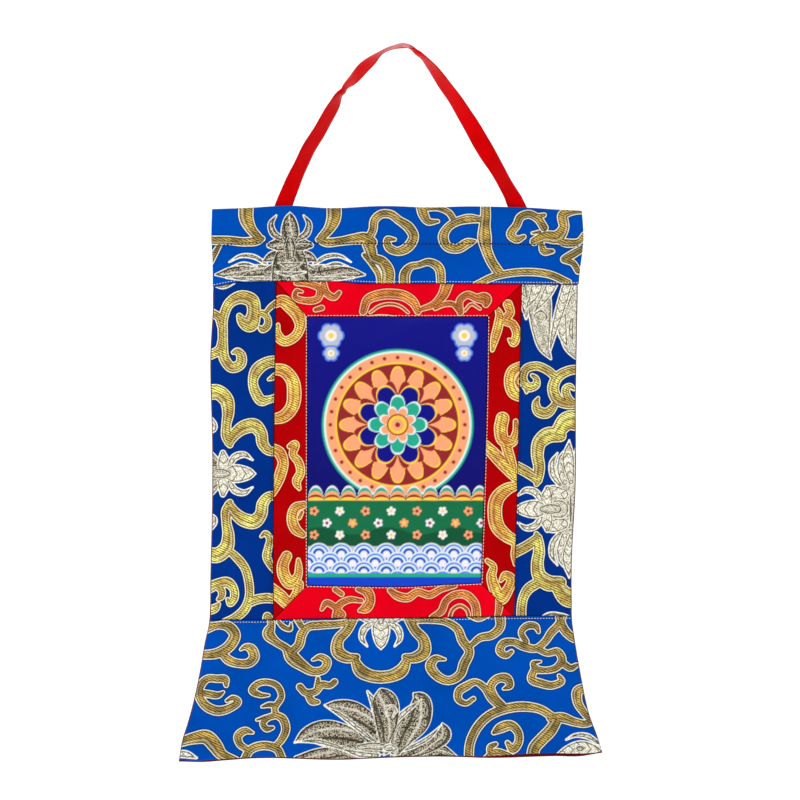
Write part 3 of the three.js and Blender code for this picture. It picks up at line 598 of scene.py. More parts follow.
def stroke_field(x, z, way):
    """For points in millimetres: the distance outside a stroke, the run along it and the place
    across it, from -1 at one edge to 1 at the other."""
    way = np.asarray(way, float)
    run = np.linalg.norm(np.diff(way[:, :2], axis=0), axis=1).sum()
    samples = smooth_line(way, np.linspace(0, 1, max(8, int(run / 0.5))))
    spot, radius = samples[:, :2], np.maximum(samples[:, 2] / 2, 0.4)
    along = np.concatenate([[0], np.cumsum(np.linalg.norm(np.diff(spot, axis=0), axis=1))])
    heading = np.gradient(spot, axis=0)
    heading /= np.linalg.norm(heading, axis=1)[:, None] + 1e-9
    off = np.stack([x, z], -1)[:, None, :] - spot[None]
    reach = np.linalg.norm(off, axis=2) - radius[None]
    best = reach.argmin(1)
    pick = np.arange(len(x))
    away = off[pick, best]
    side = away[:, 0] * heading[best, 1] - away[:, 1] * heading[best, 0]
    ahead = (away * heading[best]).sum(1)
    return reach[pick, best], along[best] + ahead, np.clip(side / radius[best], -1.3, 1.3)


FAR = 3.0


def weave_figures(x, z, gold, silver):
    """Fields of the gold strokes and the silver petals at points in millimetres."""
    flat_x, flat_z = x.ravel(), z.ravel()
    fields = {"gold": np.full((x.size, 3), FAR), "silver": np.full((x.size, 3), FAR)}
    tone = np.zeros(x.size)

    def near(way):
        way = np.asarray(way, float)
        margin = way[:, 2].max() / 2 + FAR
        low, high = way[:, :2].min(0) - margin, way[:, :2].max(0) + margin
        inside = (flat_x > low[0]) & (flat_x < high[0]) & (flat_z > low[1]) & (flat_z < high[1])
        return np.nonzero(inside)[0]

    for way in gold:
        spots = near(way)
        if len(spots):
            d, a, s = stroke_field(flat_x[spots], flat_z[spots], way)
            closer = d < fields["gold"][spots, 0]
            fields["gold"][spots[closer]] = np.stack([d, a, s], 1)[closer]
    for petal_tone, way in silver:
        spots = near(way)
        if len(spots):
            d, a, s = stroke_field(flat_x[spots], flat_z[spots], way)
            over = (d < 0) | (d < fields["silver"][spots, 0])
            fields["silver"][spots[over]] = np.stack([d, a, s], 1)[over]
            tone[spots[over]] = petal_tone
    return fields["gold"], fields["silver"], tone


def closed_sheet(name, x, y, z, back_y, back_rows):
    """A closed mesh from a fine front grid and a back with the same columns and few rows."""
    rows, columns = x.shape
    front = np.stack([x, y, z], -1).reshape(-1, 3)
    chosen = np.unique(np.round(np.linspace(0, rows - 1, back_rows)).astype(int))
    back = np.stack([x[chosen], back_y[chosen], z[chosen]], -1).reshape(-1, 3)
    start = rows * columns
    at = np.arange(start).reshape(rows, columns)
    behind = start + np.arange(len(chosen) * columns).reshape(len(chosen), columns)
    faces = np.stack([at[:-1, :-1], at[:-1, 1:], at[1:, 1:], at[1:, :-1]], -1).reshape(-1, 4).tolist()
    faces += np.stack([behind[:-1, :-1], behind[1:, :-1], behind[1:, 1:], behind[:-1, 1:]], -1).reshape(-1, 4).tolist()
    faces += np.stack([at[0, :-1], behind[0, :-1], behind[0, 1:], at[0, 1:]], -1).tolist()
    faces += np.stack([at[-1, :-1], at[-1, 1:], behind[-1, 1:], behind[-1, :-1]], -1).tolist()
    for k in range(len(chosen) - 1):
        low, high = chosen[k], chosen[k + 1]
        left = at[low : high + 1, 0].tolist()
        right = at[low : high + 1, -1].tolist()
        faces.append(left + [int(behind[k + 1, 0]), int(behind[k, 0])])
        faces.append(right[::-1] + [int(behind[k, -1]), int(behind[k + 1, -1])])
    mesh = bpy.data.meshes.new(name)
    mesh.from_pydata(np.concatenate([front, back]).tolist(), [], faces)
    mesh.update()
    mesh.shade_smooth()
    piece = bpy.data.objects.new(name, mesh)
    bpy.context.scene.collection.objects.link(piece)
    return piece, start


def store(piece, name, kind, values, front_count):
    """Writes values for the front points, and far-away ones for the back, as an attribute."""
    total = len(piece.data.vertices)
    width = {"FLOAT": 1, "FLOAT_VECTOR": 3, "FLOAT_COLOR": 4}[kind]
    full = np.full((total, width), FAR, np.float32)
    full[:front_count] = np.asarray(values, np.float32).reshape(front_count, width)
    if width == 4:
        full[front_count:] = 1
    layer = piece.data.attributes.new(name, kind, "POINT")
    layer.data.foreach_set({1: "value", 3: "vector", 4: "color"}[width], full.ravel())


def dress(piece, material, nodes):
    """Gives a finished sheet its material and its body, and hides the imported parts it stands for."""
    piece.data.materials.append(material)
    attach(piece, "root")
    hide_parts(*nodes)
    return piece


def lay_front(node, step, seed, stitch_dip=0.0):
    """A cloth's fine grid with its hem roll, small waves and puckers along the sewn edges."""
    sizes = bpy.context.scene.scroll_sizes
    cloth = Cloth(node, step, sizes.hem, seed)
    roll = np.clip(sizes.hem - cloth.edge, 0, sizes.hem)
    cloth.y = cloth.y + sizes.hem - np.sqrt(sizes.hem**2 - roll**2)
    inner = smooth_step(cloth.edge, 0, 4 * MM)
    cloth.y += inner * sizes.unevenness * waves(cloth.x, cloth.z, 26 * MM, seed)
    sewn = 1 - smooth_step(cloth.edge, 0.4 * MM, 3.2 * MM)
    cloth.y += stitch_dip * sewn * (1 + 0.6 * waves(cloth.x, cloth.z, 7 * MM, seed + 1))
    # The back rolls in less than the front, so that the two don't meet at a thin edge.
    cloth.back -= 0.6 * (sizes.hem - np.sqrt(sizes.hem**2 - roll**2))
    return cloth


def grid_area(x, y, z):
    """The area of a grid of points, from the two triangles of each of its cells."""
    spots = np.stack([x, y, z], -1)
    a, b, c, d = spots[:-1, :-1], spots[:-1, 1:], spots[1:, 1:], spots[1:, :-1]
    halves = np.cross(b - a, c - a), np.cross(c - a, d - a)
    return sum(np.linalg.norm(half, axis=-1).sum() / 2 for half in halves)


def finish_cloth(name, cloth, back_rows, gold=(), silver=()):
    """Raises the woven figures and closes the sheet; returns the piece and its front's area."""
    sizes = bpy.context.scene.scroll_sizes
    y = cloth.y
    if gold or silver:
        gold_field, silver_field, tone = weave_figures(cloth.x / MM, cloth.z / MM, gold, silver)
        rise = np.maximum(smooth_step(-gold_field[:, 0], -0.1, 0.9), smooth_step(-silver_field[:, 0], -0.1, 0.9))
        y = y - sizes.relief * rise.reshape(y.shape) * smooth_step(cloth.edge, 0, 1 * MM)
    piece, count = closed_sheet(name, cloth.x, y, cloth.z, cloth.back, back_rows)
    if gold or silver:
        store(piece, "gold", "FLOAT_VECTOR", gold_field, count)
        store(piece, "silver", "FLOAT_VECTOR", silver_field, count)
        store(piece, "tone", "FLOAT", tone, count)
    store(piece, "edge", "FLOAT", cloth.edge / MM, count)
    return piece, float(grid_area(cloth.x, cloth.y, cloth.z))


def add_node(tree, kind, links=None, out=0, **settings):
    """Adds a node with its settings and returns one of its outputs. An input takes a value or
    another node's output."""
    node = tree.nodes.new(kind)
    for name, value in settings.items():
        setattr(node, name, value)
    for key, value in (links or {}).items():
        if isinstance(value, bpy.types.NodeSocket):
            tree.links.new(value, node.inputs[key])
        else:
            node.inputs[key].default_value = value
    return node.outputs[out]


def between(tree, value, low, high, soft=0.12):
    """1 where a value lies between two limits, with soft ends."""
    rise = add_node(tree, "ShaderNodeMapRange", {0: value, 1: low - soft, 2: low + soft})
    fall = add_node(tree, "ShaderNodeMapRange", {0: value, 1: high + soft, 2: high - soft})
    return add_node(tree, "ShaderNodeMath", {0: rise, 1: fall}, operation="MULTIPLY")


def laid_over(tree, mask, strength, under, over):
    """One colour laid over another where a mask is, at a strength."""
    share = add_node(tree, "ShaderNodeMath", {0: mask, 1: strength}, operation="MULTIPLY", use_clamp=True)
    return add_node(tree, "ShaderNodeMix", {0: share, 6: under, 7: over}, out=2, data_type="RGBA")


def threads(tree, place, pitch, turn, ragged):
    """A wave from -1 to 1 across threads of a pitch in metres, at a turn in degrees from level."""
    k = math.tau / pitch
    way = (-k * math.sin(math.radians(turn)), 0.0, k * math.cos(math.radians(turn)))
    run = add_node(tree, "ShaderNodeVectorMath", {0: place, 1: way}, out="Value", operation="DOT_PRODUCT")
    stir = add_node(tree, "ShaderNodeTexNoise", {"Vector": place, "Scale": 700.0, "Detail": 1.0})
    shifted = add_node(tree, "ShaderNodeMath", {0: stir, 1: ragged, 2: run}, operation="MULTIPLY_ADD")
    return add_node(tree, "ShaderNodeMath", {0: shifted}, operation="SINE")


def shaded(code, factor):
    """A linear colour made darker or paler."""
    return [min(1.0, c * factor) for c in code[:3]] + [1.0]


def new_material(name, colour_value, roughness, shine):
    """A material with its Principled shader, and the tree and place to build on."""
    material = bpy.data.materials.new(name)
    material.use_nodes = True
    material.diffuse_color = colour_value
    tree = material.node_tree
    shader = tree.nodes["Principled BSDF"]
    shader.inputs["Base Color"].default_value = colour_value
    shader.inputs["Roughness"].default_value = roughness
    shader.inputs["Specular IOR Level"].default_value = shine
    place = add_node(tree, "ShaderNodeTexCoord", out="Object")
    return material, tree, shader, place


def bumped(tree, shader, height, distance, strength):
    """Puts a height on the shader's normal, and leaves the shader's light to follow it."""
    links = {"Height": height, "Distance": distance, "Strength": strength}
    tree.links.new(add_node(tree, "ShaderNodeBump", links), shader.inputs["Normal"])


def gold_figures(tree, place, base, fleck, ground, gold, outline, dark):
    """Gold strokes over a ground colour: a pale rim, a dark line within it, a slanting twill and a
    pale and a dark vein off the middle. Returns the colour, the grain and where the strokes are."""
    field = add_node(tree, "ShaderNodeAttribute", out="Vector", attribute_name="gold")
    away, _, side = add_node(tree, "ShaderNodeSeparateXYZ", {0: field}).node.outputs
    # Such a twill's lines are usually 0.5 mm apart. They are drawn 1.2 mm apart so that they show.
    twill = threads(tree, place, 1.2 * MM, -24, 3.0)
    grain = add_node(tree, "ShaderNodeMath", {0: twill, 1: 0.34, 2: fleck}, operation="MULTIPLY_ADD")
    # Patches of painted glint brighten the gold, where its metal threads would catch the light.
    glint = add_node(tree, "ShaderNodeTexNoise", {"Vector": place, "Scale": 110.0, "Detail": 2.0})
    shine = add_node(tree, "ShaderNodeMapRange", {0: glint, 1: 0.4, 2: 0.64})
    bright = laid_over(tree, shine, 1.0, shaded(gold, 0.75), shaded(gold, 1.9))
    ramp = add_node(tree, "ShaderNodeMapRange", {0: grain, 1: 0.18, 2: 0.5})
    body = laid_over(tree, ramp, 1.0, dark, bright)
    body = laid_over(tree, between(tree, side, 0.4, 0.56), 0.5, body, outline)
    body = laid_over(tree, between(tree, side, 0.06, 0.24), 0.75, body, dark)
    body = laid_over(tree, between(tree, away, -1.15, -0.68), 0.75, body, dark)
    body = laid_over(tree, between(tree, away, -0.46, 1.0), 1.0, body, outline)
    # A painted shadow darkens the ground just outside each stroke, where the raised figure would shade it.
    base = laid_over(tree, between(tree, away, -0.1, 0.6), 0.75, base, shaded(ground, 0.12))
    inside = between(tree, away, -30.0, 0.08)
    return laid_over(tree, inside, 1.0, base, body), grain, inside


def silver_figures(tree, place, base, fleck, silver, dark):
    """Silver petals over a colour: white or stippled grey, with a pale rim, a dark line within it,
    a dark vein and slanting ribs. Returns the colour and where the petals are."""
    field = add_node(tree, "ShaderNodeAttribute", out="Vector", attribute_name="silver")
    away, along, side = add_node(tree, "ShaderNodeSeparateXYZ", {0: field}).node.outputs
    tone = add_node(tree, "ShaderNodeAttribute", out="Fac", attribute_name="tone")
    stipple = add_node(tree, "ShaderNodeTexNoise", {"Vector": place, "Scale": 1400.0, "Detail": 0.0})
    speck = add_node(tree, "ShaderNodeMapRange", {0: stipple, 1: 0.4, 2: 0.58})
    white = laid_over(tree, speck, 1.0, srgb("#b8b096"), silver)
    grey = laid_over(tree, speck, 1.0, dark, srgb("#b9ae95"))
    vein_turn = add_node(tree, "ShaderNodeMath", {0: along, 1: 0.16}, operation="MULTIPLY")
    vein_turn = add_node(tree, "ShaderNodeMath", {0: side, 1: 4.6, 2: vein_turn}, operation="MULTIPLY_ADD")
    vein = add_node(tree, "ShaderNodeMath", {0: vein_turn}, operation="SINE")
    # Pale lines along the diagonal veins of the grey petals are painted gleams, and the dark lines beside them are
    # woven veins.
    grey = laid_over(tree, between(tree, vein, 0.92, 1.5), 0.6, grey, silver)
    grey = laid_over(tree, between(tree, vein, -1.5, -0.85), 0.85, grey, dark)
    petal = laid_over(tree, tone, 1.0, white, grey)
    slant = add_node(tree, "ShaderNodeMath", {0: side}, operation="ABSOLUTE")
    slant = add_node(tree, "ShaderNodeMath", {0: slant, 1: 4.4}, operation="MULTIPLY")
    slant = add_node(tree, "ShaderNodeMath", {0: along, 1: 1.3, 2: slant}, operation="MULTIPLY_ADD")
    rib = add_node(tree, "ShaderNodeMath", {0: slant}, operation="SINE")
    # The slanting ribs belong to the white petals, and fade out as a petal turns grey.
    plain = add_node(tree, "ShaderNodeMapRange", {0: tone, 1: 0.0, 2: 0.5, 3: 1.0, 4: 0.0})
    ribbed = add_node(tree, "ShaderNodeMath", {0: between(tree, rib, 0.86, 1.5), 1: plain}, operation="MULTIPLY")
    petal = laid_over(tree, ribbed, 0.75, petal, dark)
    petal = laid_over(tree, between(tree, away, -1.2, -0.7), 0.85, petal, dark)
    petal = laid_over(tree, between(tree, away, -0.4, 1.0), 0.8, petal, silver)
    inside = between(tree, away, -30.0, 0.08)
    return laid_over(tree, inside, 1.0, base, petal), inside


def satin_brocade(name, ground, gold, outline, dark):
    """Viscose satin brocade, jacquard woven: a smooth satin ground with matt metal-thread figures."""
    silver = list(bpy.context.scene.scroll_colours.silver)
    material, tree, shader, place = new_material(name, ground, 0.5, 0.22)
    # Such a satin's threads are usually 0.12 mm apart. They are drawn 0.6 mm apart so that they show.
    warp = threads(tree, place, 0.6 * MM, 90, 2.5)
    # The warp threads and cloudy patches lighten and darken the ground: the threads are woven lines, and the cloudy
    # patches are painted sheen of the satin.
    cloudy = add_node(tree, "ShaderNodeTexNoise", {"Vector": place, "Scale": 30.0, "Detail": 3.0})
    lit = add_node(tree, "ShaderNodeMath", {0: warp, 1: 0.08, 2: cloudy}, operation="MULTIPLY_ADD")
    base = laid_over(tree, lit, 0.9, shaded(ground, 0.72), shaded(ground, 1.28))
    fleck = add_node(tree, "ShaderNodeTexNoise", {"Vector": place, "Scale": 1100.0, "Detail": 2.0})
    now, grain, in_gold = gold_figures(tree, place, base, fleck, ground, gold, outline, dark)
    now, in_petal = silver_figures(tree, place, now, fleck, silver, dark)
    edge = add_node(tree, "ShaderNodeAttribute", out="Fac", attribute_name="edge")
    # Painted shade darkens each cloth along its edges, where the seams fall into shadow.
    now = laid_over(tree, between(tree, edge, -1.0, 0.2), 0.12, now, shaded(ground, 0.3))
    tree.links.new(now, shader.inputs["Base Color"])
    figure = add_node(tree, "ShaderNodeMath", {0: in_gold, 1: in_petal}, operation="MAXIMUM")
    rough = add_node(tree, "ShaderNodeMapRange", {0: figure, 3: 0.46, 4: 0.5})
    tree.links.new(rough, shader.inputs["Roughness"])
    # Dyed satin threads tint what they reflect, and the metal threads of the figures don't.
    tinted = laid_over(tree, figure, 1.0, ground, srgb("#ffffff"))
    tree.links.new(tinted, shader.inputs["Specular Tint"])
    metal = add_node(tree, "ShaderNodeMath", {0: in_gold, 1: 0.35}, operation="MULTIPLY")
    tree.links.new(metal, shader.inputs["Metallic"])
    fine = add_node(tree, "ShaderNodeMath", {0: warp, 1: 0.12}, operation="MULTIPLY")
    height = add_node(tree, "ShaderNodeMath", {0: grain, 1: figure, 2: fine}, operation="MULTIPLY_ADD")
    bumped(tree, shader, height, 0.16 * MM, 0.85)
    return material


def plain_cloth(name, ground):
    """Plain-woven cotton, dyed in the piece: matt, with an even over-and-under of its threads."""
    material, tree, shader, place = new_material(name, ground, 0.85, 0.15)
    # Such a cotton's threads are usually 0.3 mm apart. They are drawn 0.55 mm apart so that they show.
    warp, weft = (threads(tree, place, 0.55 * MM, turn, 1.0) for turn in (90, 0))
    weave = add_node(tree, "ShaderNodeMath", {0: warp, 1: weft}, operation="MULTIPLY")
    cloudy = add_node(tree, "ShaderNodeTexNoise", {"Vector": place, "Scale": 24.0, "Detail": 4.0})
    lit = add_node(tree, "ShaderNodeMath", {0: weave, 1: 0.16, 2: cloudy}, operation="MULTIPLY_ADD")
    mixed = laid_over(tree, lit, 1.0, shaded(ground, 0.6), shaded(ground, 1.5))
    tree.links.new(mixed, shader.inputs["Base Color"])
    shader.inputs["Sheen Weight"].default_value = 0.1
    shader.inputs["Sheen Tint"].default_value = ground
    bumped(tree, shader, weave, 0.1 * MM, 0.6)
    return material


def printed_satin(name):
    """Smooth satin printed by transfer: a slight gloss, and dyes that sink a little into it."""
    material, tree, shader, place = new_material(name, srgb("#10128a"), 0.4, 0.1)
    design = add_node(tree, "ShaderNodeAttribute", out="Color", attribute_name="print")
    weave = threads(tree, place, 0.5 * MM, 90, 1.5)
    mottle = add_node(tree, "ShaderNodeTexNoise", {"Vector": place, "Scale": 420.0, "Detail": 3.0})
    sunk = laid_over(tree, mottle, 0.1, design, srgb("#0a0a40"))
    tree.links.new(sunk, shader.inputs["Base Color"])
    bumped(tree, shader, weave, 0.05 * MM, 0.4)
    return material


def satin_ribbon(name, ground):
    """Single-face polyester satin ribbon: glossy along its length, with woven edges."""
    material, tree, shader, place = new_material(name, ground, 0.36, 0.3)
    across = add_node(tree, "ShaderNodeAttribute", out="Fac", attribute_name="across")
    turn = add_node(tree, "ShaderNodeMath", {0: across, 1: 62.0}, operation="MULTIPLY")
    line = add_node(tree, "ShaderNodeMath", {0: turn}, operation="SINE")
    # Lines along the threads and cloudy patches lighten and darken the ribbon: the lines are its woven threads, and
    # their lighter stripes and the patches are painted gloss and painted shade of the satin.
    cloudy = add_node(tree, "ShaderNodeTexNoise", {"Vector": place, "Scale": 130.0, "Detail": 2.0})
    lit = add_node(tree, "ShaderNodeMath", {0: line, 1: 0.12, 2: cloudy}, operation="MULTIPLY_ADD")
    mixed = laid_over(tree, lit, 1.0, shaded(ground, 0.7), shaded(ground, 1.15))
    off_middle = add_node(tree, "ShaderNodeMath", {0: across}, operation="ABSOLUTE")
    mixed = laid_over(tree, between(tree, off_middle, 0.92, 1.3), 0.5, mixed, shaded(ground, 0.4))
    tree.links.new(mixed, shader.inputs["Base Color"])
    shader.inputs["Anisotropic"].default_value = 0.5
    shader.inputs["Specular Tint"].default_value = shaded(ground, 1.2)
    bumped(tree, shader, line, 0.05 * MM, 0.35)
    return material


def spun_thread(name, ground):
    """Spun polyester sewing thread: matt, with a twist that shows as slanting lines."""
    material, tree, shader, place = new_material(name, ground, 0.7, 0.2)
    twist = threads(tree, place, 0.35 * MM, 40, 1.0)
    lit = add_node(tree, "ShaderNodeMath", {0: twist, 1: 0.3, 2: 0.4}, operation="MULTIPLY_ADD")
    tree.links.new(laid_over(tree, lit, 1.0, shaded(ground, 0.6), shaded(ground, 1.3)), shader.inputs["Base Color"])
    bumped(tree, shader, twist, 0.05 * MM, 0.6)
    return material


def sweep_paper(name, ground, glow):
    """Matt studio paper, a little lit of itself so that it stays pale far from the lights."""
    material, _, shader, _ = new_material(name, ground, 0.9, 0.1)
    shader.inputs["Emission Color"].default_value = ground
    shader.inputs["Emission Strength"].default_value = glow
    return material


PRINT = {
    "night": srgb("#05057c"), "deep": srgb("#00004e"), "peach": srgb("#f0a070"), "yellow": srgb("#ffca3a"),
    "maroon": srgb("#8e2226"), "teal": srgb("#22a386"), "mint": srgb("#d2ede4"), "green": srgb("#0e6a40"),
    "moss": srgb("#08502f"), "pearl": srgb("#e6e6ea"), "sky": srgb("#4a7ae0"), "blue": srgb("#0b3fc2"),
    "grey": srgb("#b4b8c4"),
}


def lay(print_now, inside, name, soft=0.35):
    """Prints a colour where a distance in millimetres is below nothing."""
    share = smooth_step(-inside, -soft, soft)[..., None]
    return print_now * (1 - share) + np.array(PRINT[name]) * share


def disc(x, z, middle, radius):
    """How far a point is outside a round spot."""
    return np.hypot(x - middle[0], z - middle[1]) - radius


def flower(x, z, middle, petals, reach, hollow, turn=0.0):
    """How far a point is outside a round flower."""
    angle = np.arctan2(z - middle[1], x - middle[0]) + turn
    lobe = reach * (1 - hollow * (1 - np.abs(np.cos(angle * petals / 2))) ** 1.3)
    return np.hypot(x - middle[0], z - middle[1]) - lobe


def print_wheel(now, x, z, middle):
    """A lotus wheel: rings of colour with beads, and flowers laid one in another."""
    grown = 1.14
    x, z = (x - middle[0]) / grown + middle[0], (z - middle[1]) / grown + middle[1]
    rings = (("teal", 37), ("mint", 36), ("peach", 35), ("yellow", 30.5), ("maroon", 29.6))
    for name, radius in rings:
        now = lay(now, disc(x, z, middle, radius), name)
    for turn in np.arange(32) * math.tau / 32:
        spot = (middle[0] + 32.8 * math.cos(turn), middle[1] + 32.8 * math.sin(turn))
        now = lay(now, disc(x, z, spot, 0.9), "maroon")
    for petals, reach, name, hollow, turn in (
        (16, 28.5, "yellow", 0.3, 0.0), (16, 27.6, "peach", 0.32, 0.0), (16, 21.5, "maroon", 0.32, 0.2),
        (8, 20.4, "yellow", 0.38, 0.4), (8, 19.4, "night", 0.38, 0.4), (8, 14.6, "mint", 0.36, 0.0),
        (8, 13.6, "teal", 0.36, 0.0), (8, 9.4, "pearl", 0.36, 0.4), (8, 8.4, "peach", 0.36, 0.4),
    ):
        now = lay(now, flower(x, z, middle, petals, reach, hollow, turn), name)
    for name, radius in (("maroon", 5.2), ("yellow", 4.5), ("peach", 3.0), ("maroon", 1.2)):
        now = lay(now, disc(x, z, middle, radius), name)
    return now


def print_design(x, z):
    """A generic lotus wheel on a night-blue field, over a band of petals, a green field with small
    flowers, rows of waves and a blue foot. All of it is a design of this scroll's own."""
    left, foot = x.min(), z.min()
    wide, tall = x.max() - left, z.max() - foot
    now = np.broadcast_to(np.array(PRINT["night"]), x.shape + (4,)) * (0.45 + 0.6 * (z - foot) / tall)[..., None]
    for across in (0.13, 0.87):
        for up, size in ((0.93, 6.4), (0.865, 3.8)):
            cloud = (left + wide * across, foot + tall * up)
            now = lay(now, flower(x, z, cloud, 6, size + 1.0, 0.16), "sky")
            now = lay(now, flower(x, z, cloud, 6, size, 0.16), "grey")
            now = lay(now, disc(x, z, cloud, size * 0.5), "pearl")
            now = lay(now, disc(x, z, cloud, size * 0.25), "yellow")
    now = print_wheel(now, x, z, (left + wide * 0.5, foot + tall * 0.6))
    field = foot + tall * 0.34
    now = lay(now, z - field, "green")
    now = lay(now, z - (field - 20) + 2 * np.sin(x / 6), "moss")
    share = ((x - left) * 11 / wide) % 1 - 0.5
    for lift, name in ((8.2, "pearl"), (7.0, "teal"), (5.2, "peach"), (3.2, "maroon"), (1.8, "yellow")):
        arch = field - 3 + lift * np.sqrt(np.clip(1 - (share * 2.05) ** 2, 0, 1))
        now = lay(now, np.maximum(z - arch, field - 3 - z), name)
    for row in range(3):
        for k in range(7):
            spot = (left + wide * (k + 0.5 + 0.25 * (row % 2 * 2 - 1)) / 7, field - 9 - row * 6.6)
            now = lay(now, flower(x, z, spot, 5, 2.6, 0.4, 0.3 * k), "pearl" if (k + row) % 2 else "peach")
            now = lay(now, disc(x, z, spot, 0.9), "yellow" if k % 2 else "maroon")
    wave_top = foot + tall * 0.15
    now = lay(now, z - wave_top, "grey")
    for row in range(4):
        share = ((x - left) * 8 / wide + 0.5 * (row % 2)) % 1 - 0.5
        reach = np.hypot(share * wide / 8, z - (wave_top - 4.5 - row * 5.0))
        for radius, name in ((6.3, "pearl"), (5.5, "sky"), (4.5, "mint"), (3.4, "blue"), (2.0, "pearl")):
            now = lay(now, reach - radius, name)
    now = lay(now, z - (foot + tall * 0.05), "teal")
    return lay(now, z - (foot + tall * 0.035), "blue")


RIBBON_WAY = [  # x, z, y, turn in degrees, bulge
    (-72, -100, 3.3, 0, 0), (-69.3, -92.4, 3.3, 0, 0), (-67.3, -86.8, 3.3, 0, 0), (-65.5, -82, 2.9, -16, 0),
    (-62.8, -75.4, 2.4, -24, 0), (-58.4, -65.6, 1.6, -37, 0), (-53.6, -55.7, 1.3, -39, 0),
    (-45.5, -42.3, 0.9, -44, 0), (-38.9, -30.4, 0.4, -52, 0), (-35.9, -25.4, 0, -70, 1.4),
    (-34.2, -23.2, -0.2, -90, 3), (-32.4, -20.9, -0.2, -112, 1.4), (-27.7, -15.8, -0.2, -130, 0),
    (-22, -9.4, -0.2, -135, 0), (-18.5, -6.2, 0, -128, 0), (-13.4, -2, 0, -109, 0), (-5.7, 1.4, 0, -109, 0),
    (0, 2.3, 0, -113, 0), (3, 1.3, 0, -106, 1), (6.8, -1.6, 0, -90, 2.4), (10.6, -5, 0, -74, 1),
    (14.2, -8.6, 0, -64, 0), (19.4, -15.7, 0.2, -51, 0), (26.8, -25.8, 0.6, -43, 0), (35.5, -39.4, 1.4, -26, 0),
    (43.3, -52.8, 2.4, -4, 0), (50.9, -65.5, 2, 27, 0), (56.6, -75.5, 1.9, 31, 0), (59.6, -81, 2.6, 22, 0),
    (61.8, -85.4, 3.3, 0, 0), (65, -92, 3.3, 0, 0), (68.6, -99.8, 3.3, 0, 0),
]


def ribbon_mesh(sizes):
    """The ribbon as a thin closed band: its rows of points, its length and where each is across."""
    way = np.array(RIBBON_WAY, float)
    steps = (len(way) - 1) * 8
    shares = np.linspace(0, 1, steps + 1)
    rows = smooth_line(way[:, (0, 2, 1, 3, 4)] * [1, 1, 1, 0.02, 1], shares)
    spot, turn, bulge = rows[:, :3] * MM, np.radians(rows[:, 3] / 0.02), np.maximum(rows[:, 4], 0) * MM
    along = np.gradient(spot, axis=0)
    along /= np.linalg.norm(along, axis=1)[:, None]
    outward = np.cross(along, [0, 1, 0])
    outward /= np.linalg.norm(outward, axis=1)[:, None]
    c, s = np.cos(-turn)[:, None], np.sin(-turn)[:, None]
    wide = outward * c + np.cross(along, outward) * s
    thick = np.cross(along, wide)
    half = sizes.ribbon_wide / 2
    reach = np.sqrt(half**2 - bulge**2)[:, None, None]
    across = np.linspace(-1, 1, 13)
    rounding = np.sqrt(np.clip(1 - np.abs(across) ** 14, 0.04, 1))
    lift = bulge[:, None] * (0.5 - across[None] ** 2)
    ripple = 0.12 * MM * np.sin(shares * 90)[:, None] * np.abs(across)[None] ** 3
    loop_across = np.concatenate([across, across[::-1]])
    loop_face = np.concatenate([-rounding, rounding[::-1]]) * sizes.ribbon_thick / 2
    both = np.concatenate([lift + ripple, (lift + ripple)[:, ::-1]], axis=1)
    points = spot[:, None] + wide[:, None] * reach * loop_across[None, :, None]
    points = points + thick[:, None] * (both + loop_face[None])[..., None]
    return points, loop_across


def make_loft(name, points):
    """A closed tube of faces through rows of points, with flat ends."""
    rows, sides = points.shape[:2]
    at = np.arange(rows * sides).reshape(rows, sides)
    after = np.roll(at, -1, axis=1)
    faces = np.stack([at[:-1], after[:-1], after[1:], at[1:]], -1).reshape(-1, 4).tolist()
    faces += [at[0, ::-1].tolist(), at[-1].tolist()]
    mesh = bpy.data.meshes.new(name)
    mesh.from_pydata(points.reshape(-1, 3).tolist(), [], faces)
    mesh.update()
    mesh.shade_smooth()
    piece = bpy.data.objects.new(name, mesh)
    bpy.context.scene.collection.objects.link(piece)
    return piece


def stitch_tree(name, material):
    """Geometry nodes that lay thread stitches along lines at an even pitch."""
    tree = bpy.data.node_groups.new(name, "GeometryNodeTree")
    face = tree.interface
    face.new_socket("Geometry", in_out="INPUT", socket_type="NodeSocketGeometry")
    for label in ("Pitch", "Length", "Thickness"):
        face.new_socket(label, in_out="INPUT", socket_type="NodeSocketFloat")
    face.new_socket("Geometry", in_out="OUTPUT", socket_type="NodeSocketGeometry")
    given = tree.nodes.new("NodeGroupInput").outputs
    line = add_node(tree, "GeometryNodeMeshToCurve", {0: given["Geometry"]})
    spots = add_node(tree, "GeometryNodeResampleCurve", {"Curve": line, "Length": given["Pitch"]}, mode="LENGTH")
    along = add_node(tree, "GeometryNodeInputTangent")
    turn = add_node(tree, "FunctionNodeAlignRotationToVector", {"Vector": along}, axis="X")
    sizes = {0: given["Length"], 1: given["Thickness"], 2: given["Thickness"]}
    size = add_node(tree, "ShaderNodeCombineXYZ", sizes)
    bead = add_node(tree, "GeometryNodeMeshUVSphere", {"Segments": 8, "Rings": 5, "Radius": 0.5})
    laid = {"Points": spots, "Instance": bead, "Rotation": turn, "Scale": size}
    beads = add_node(tree, "GeometryNodeInstanceOnPoints", laid)
    real = add_node(tree, "GeometryNodeRealizeInstances", {0: beads})
    coated = add_node(tree, "GeometryNodeSetMaterial", {0: real, "Material": material})
    out = tree.nodes.new("NodeGroupOutput")
    tree.links.new(coated, out.inputs[0])
    return tree


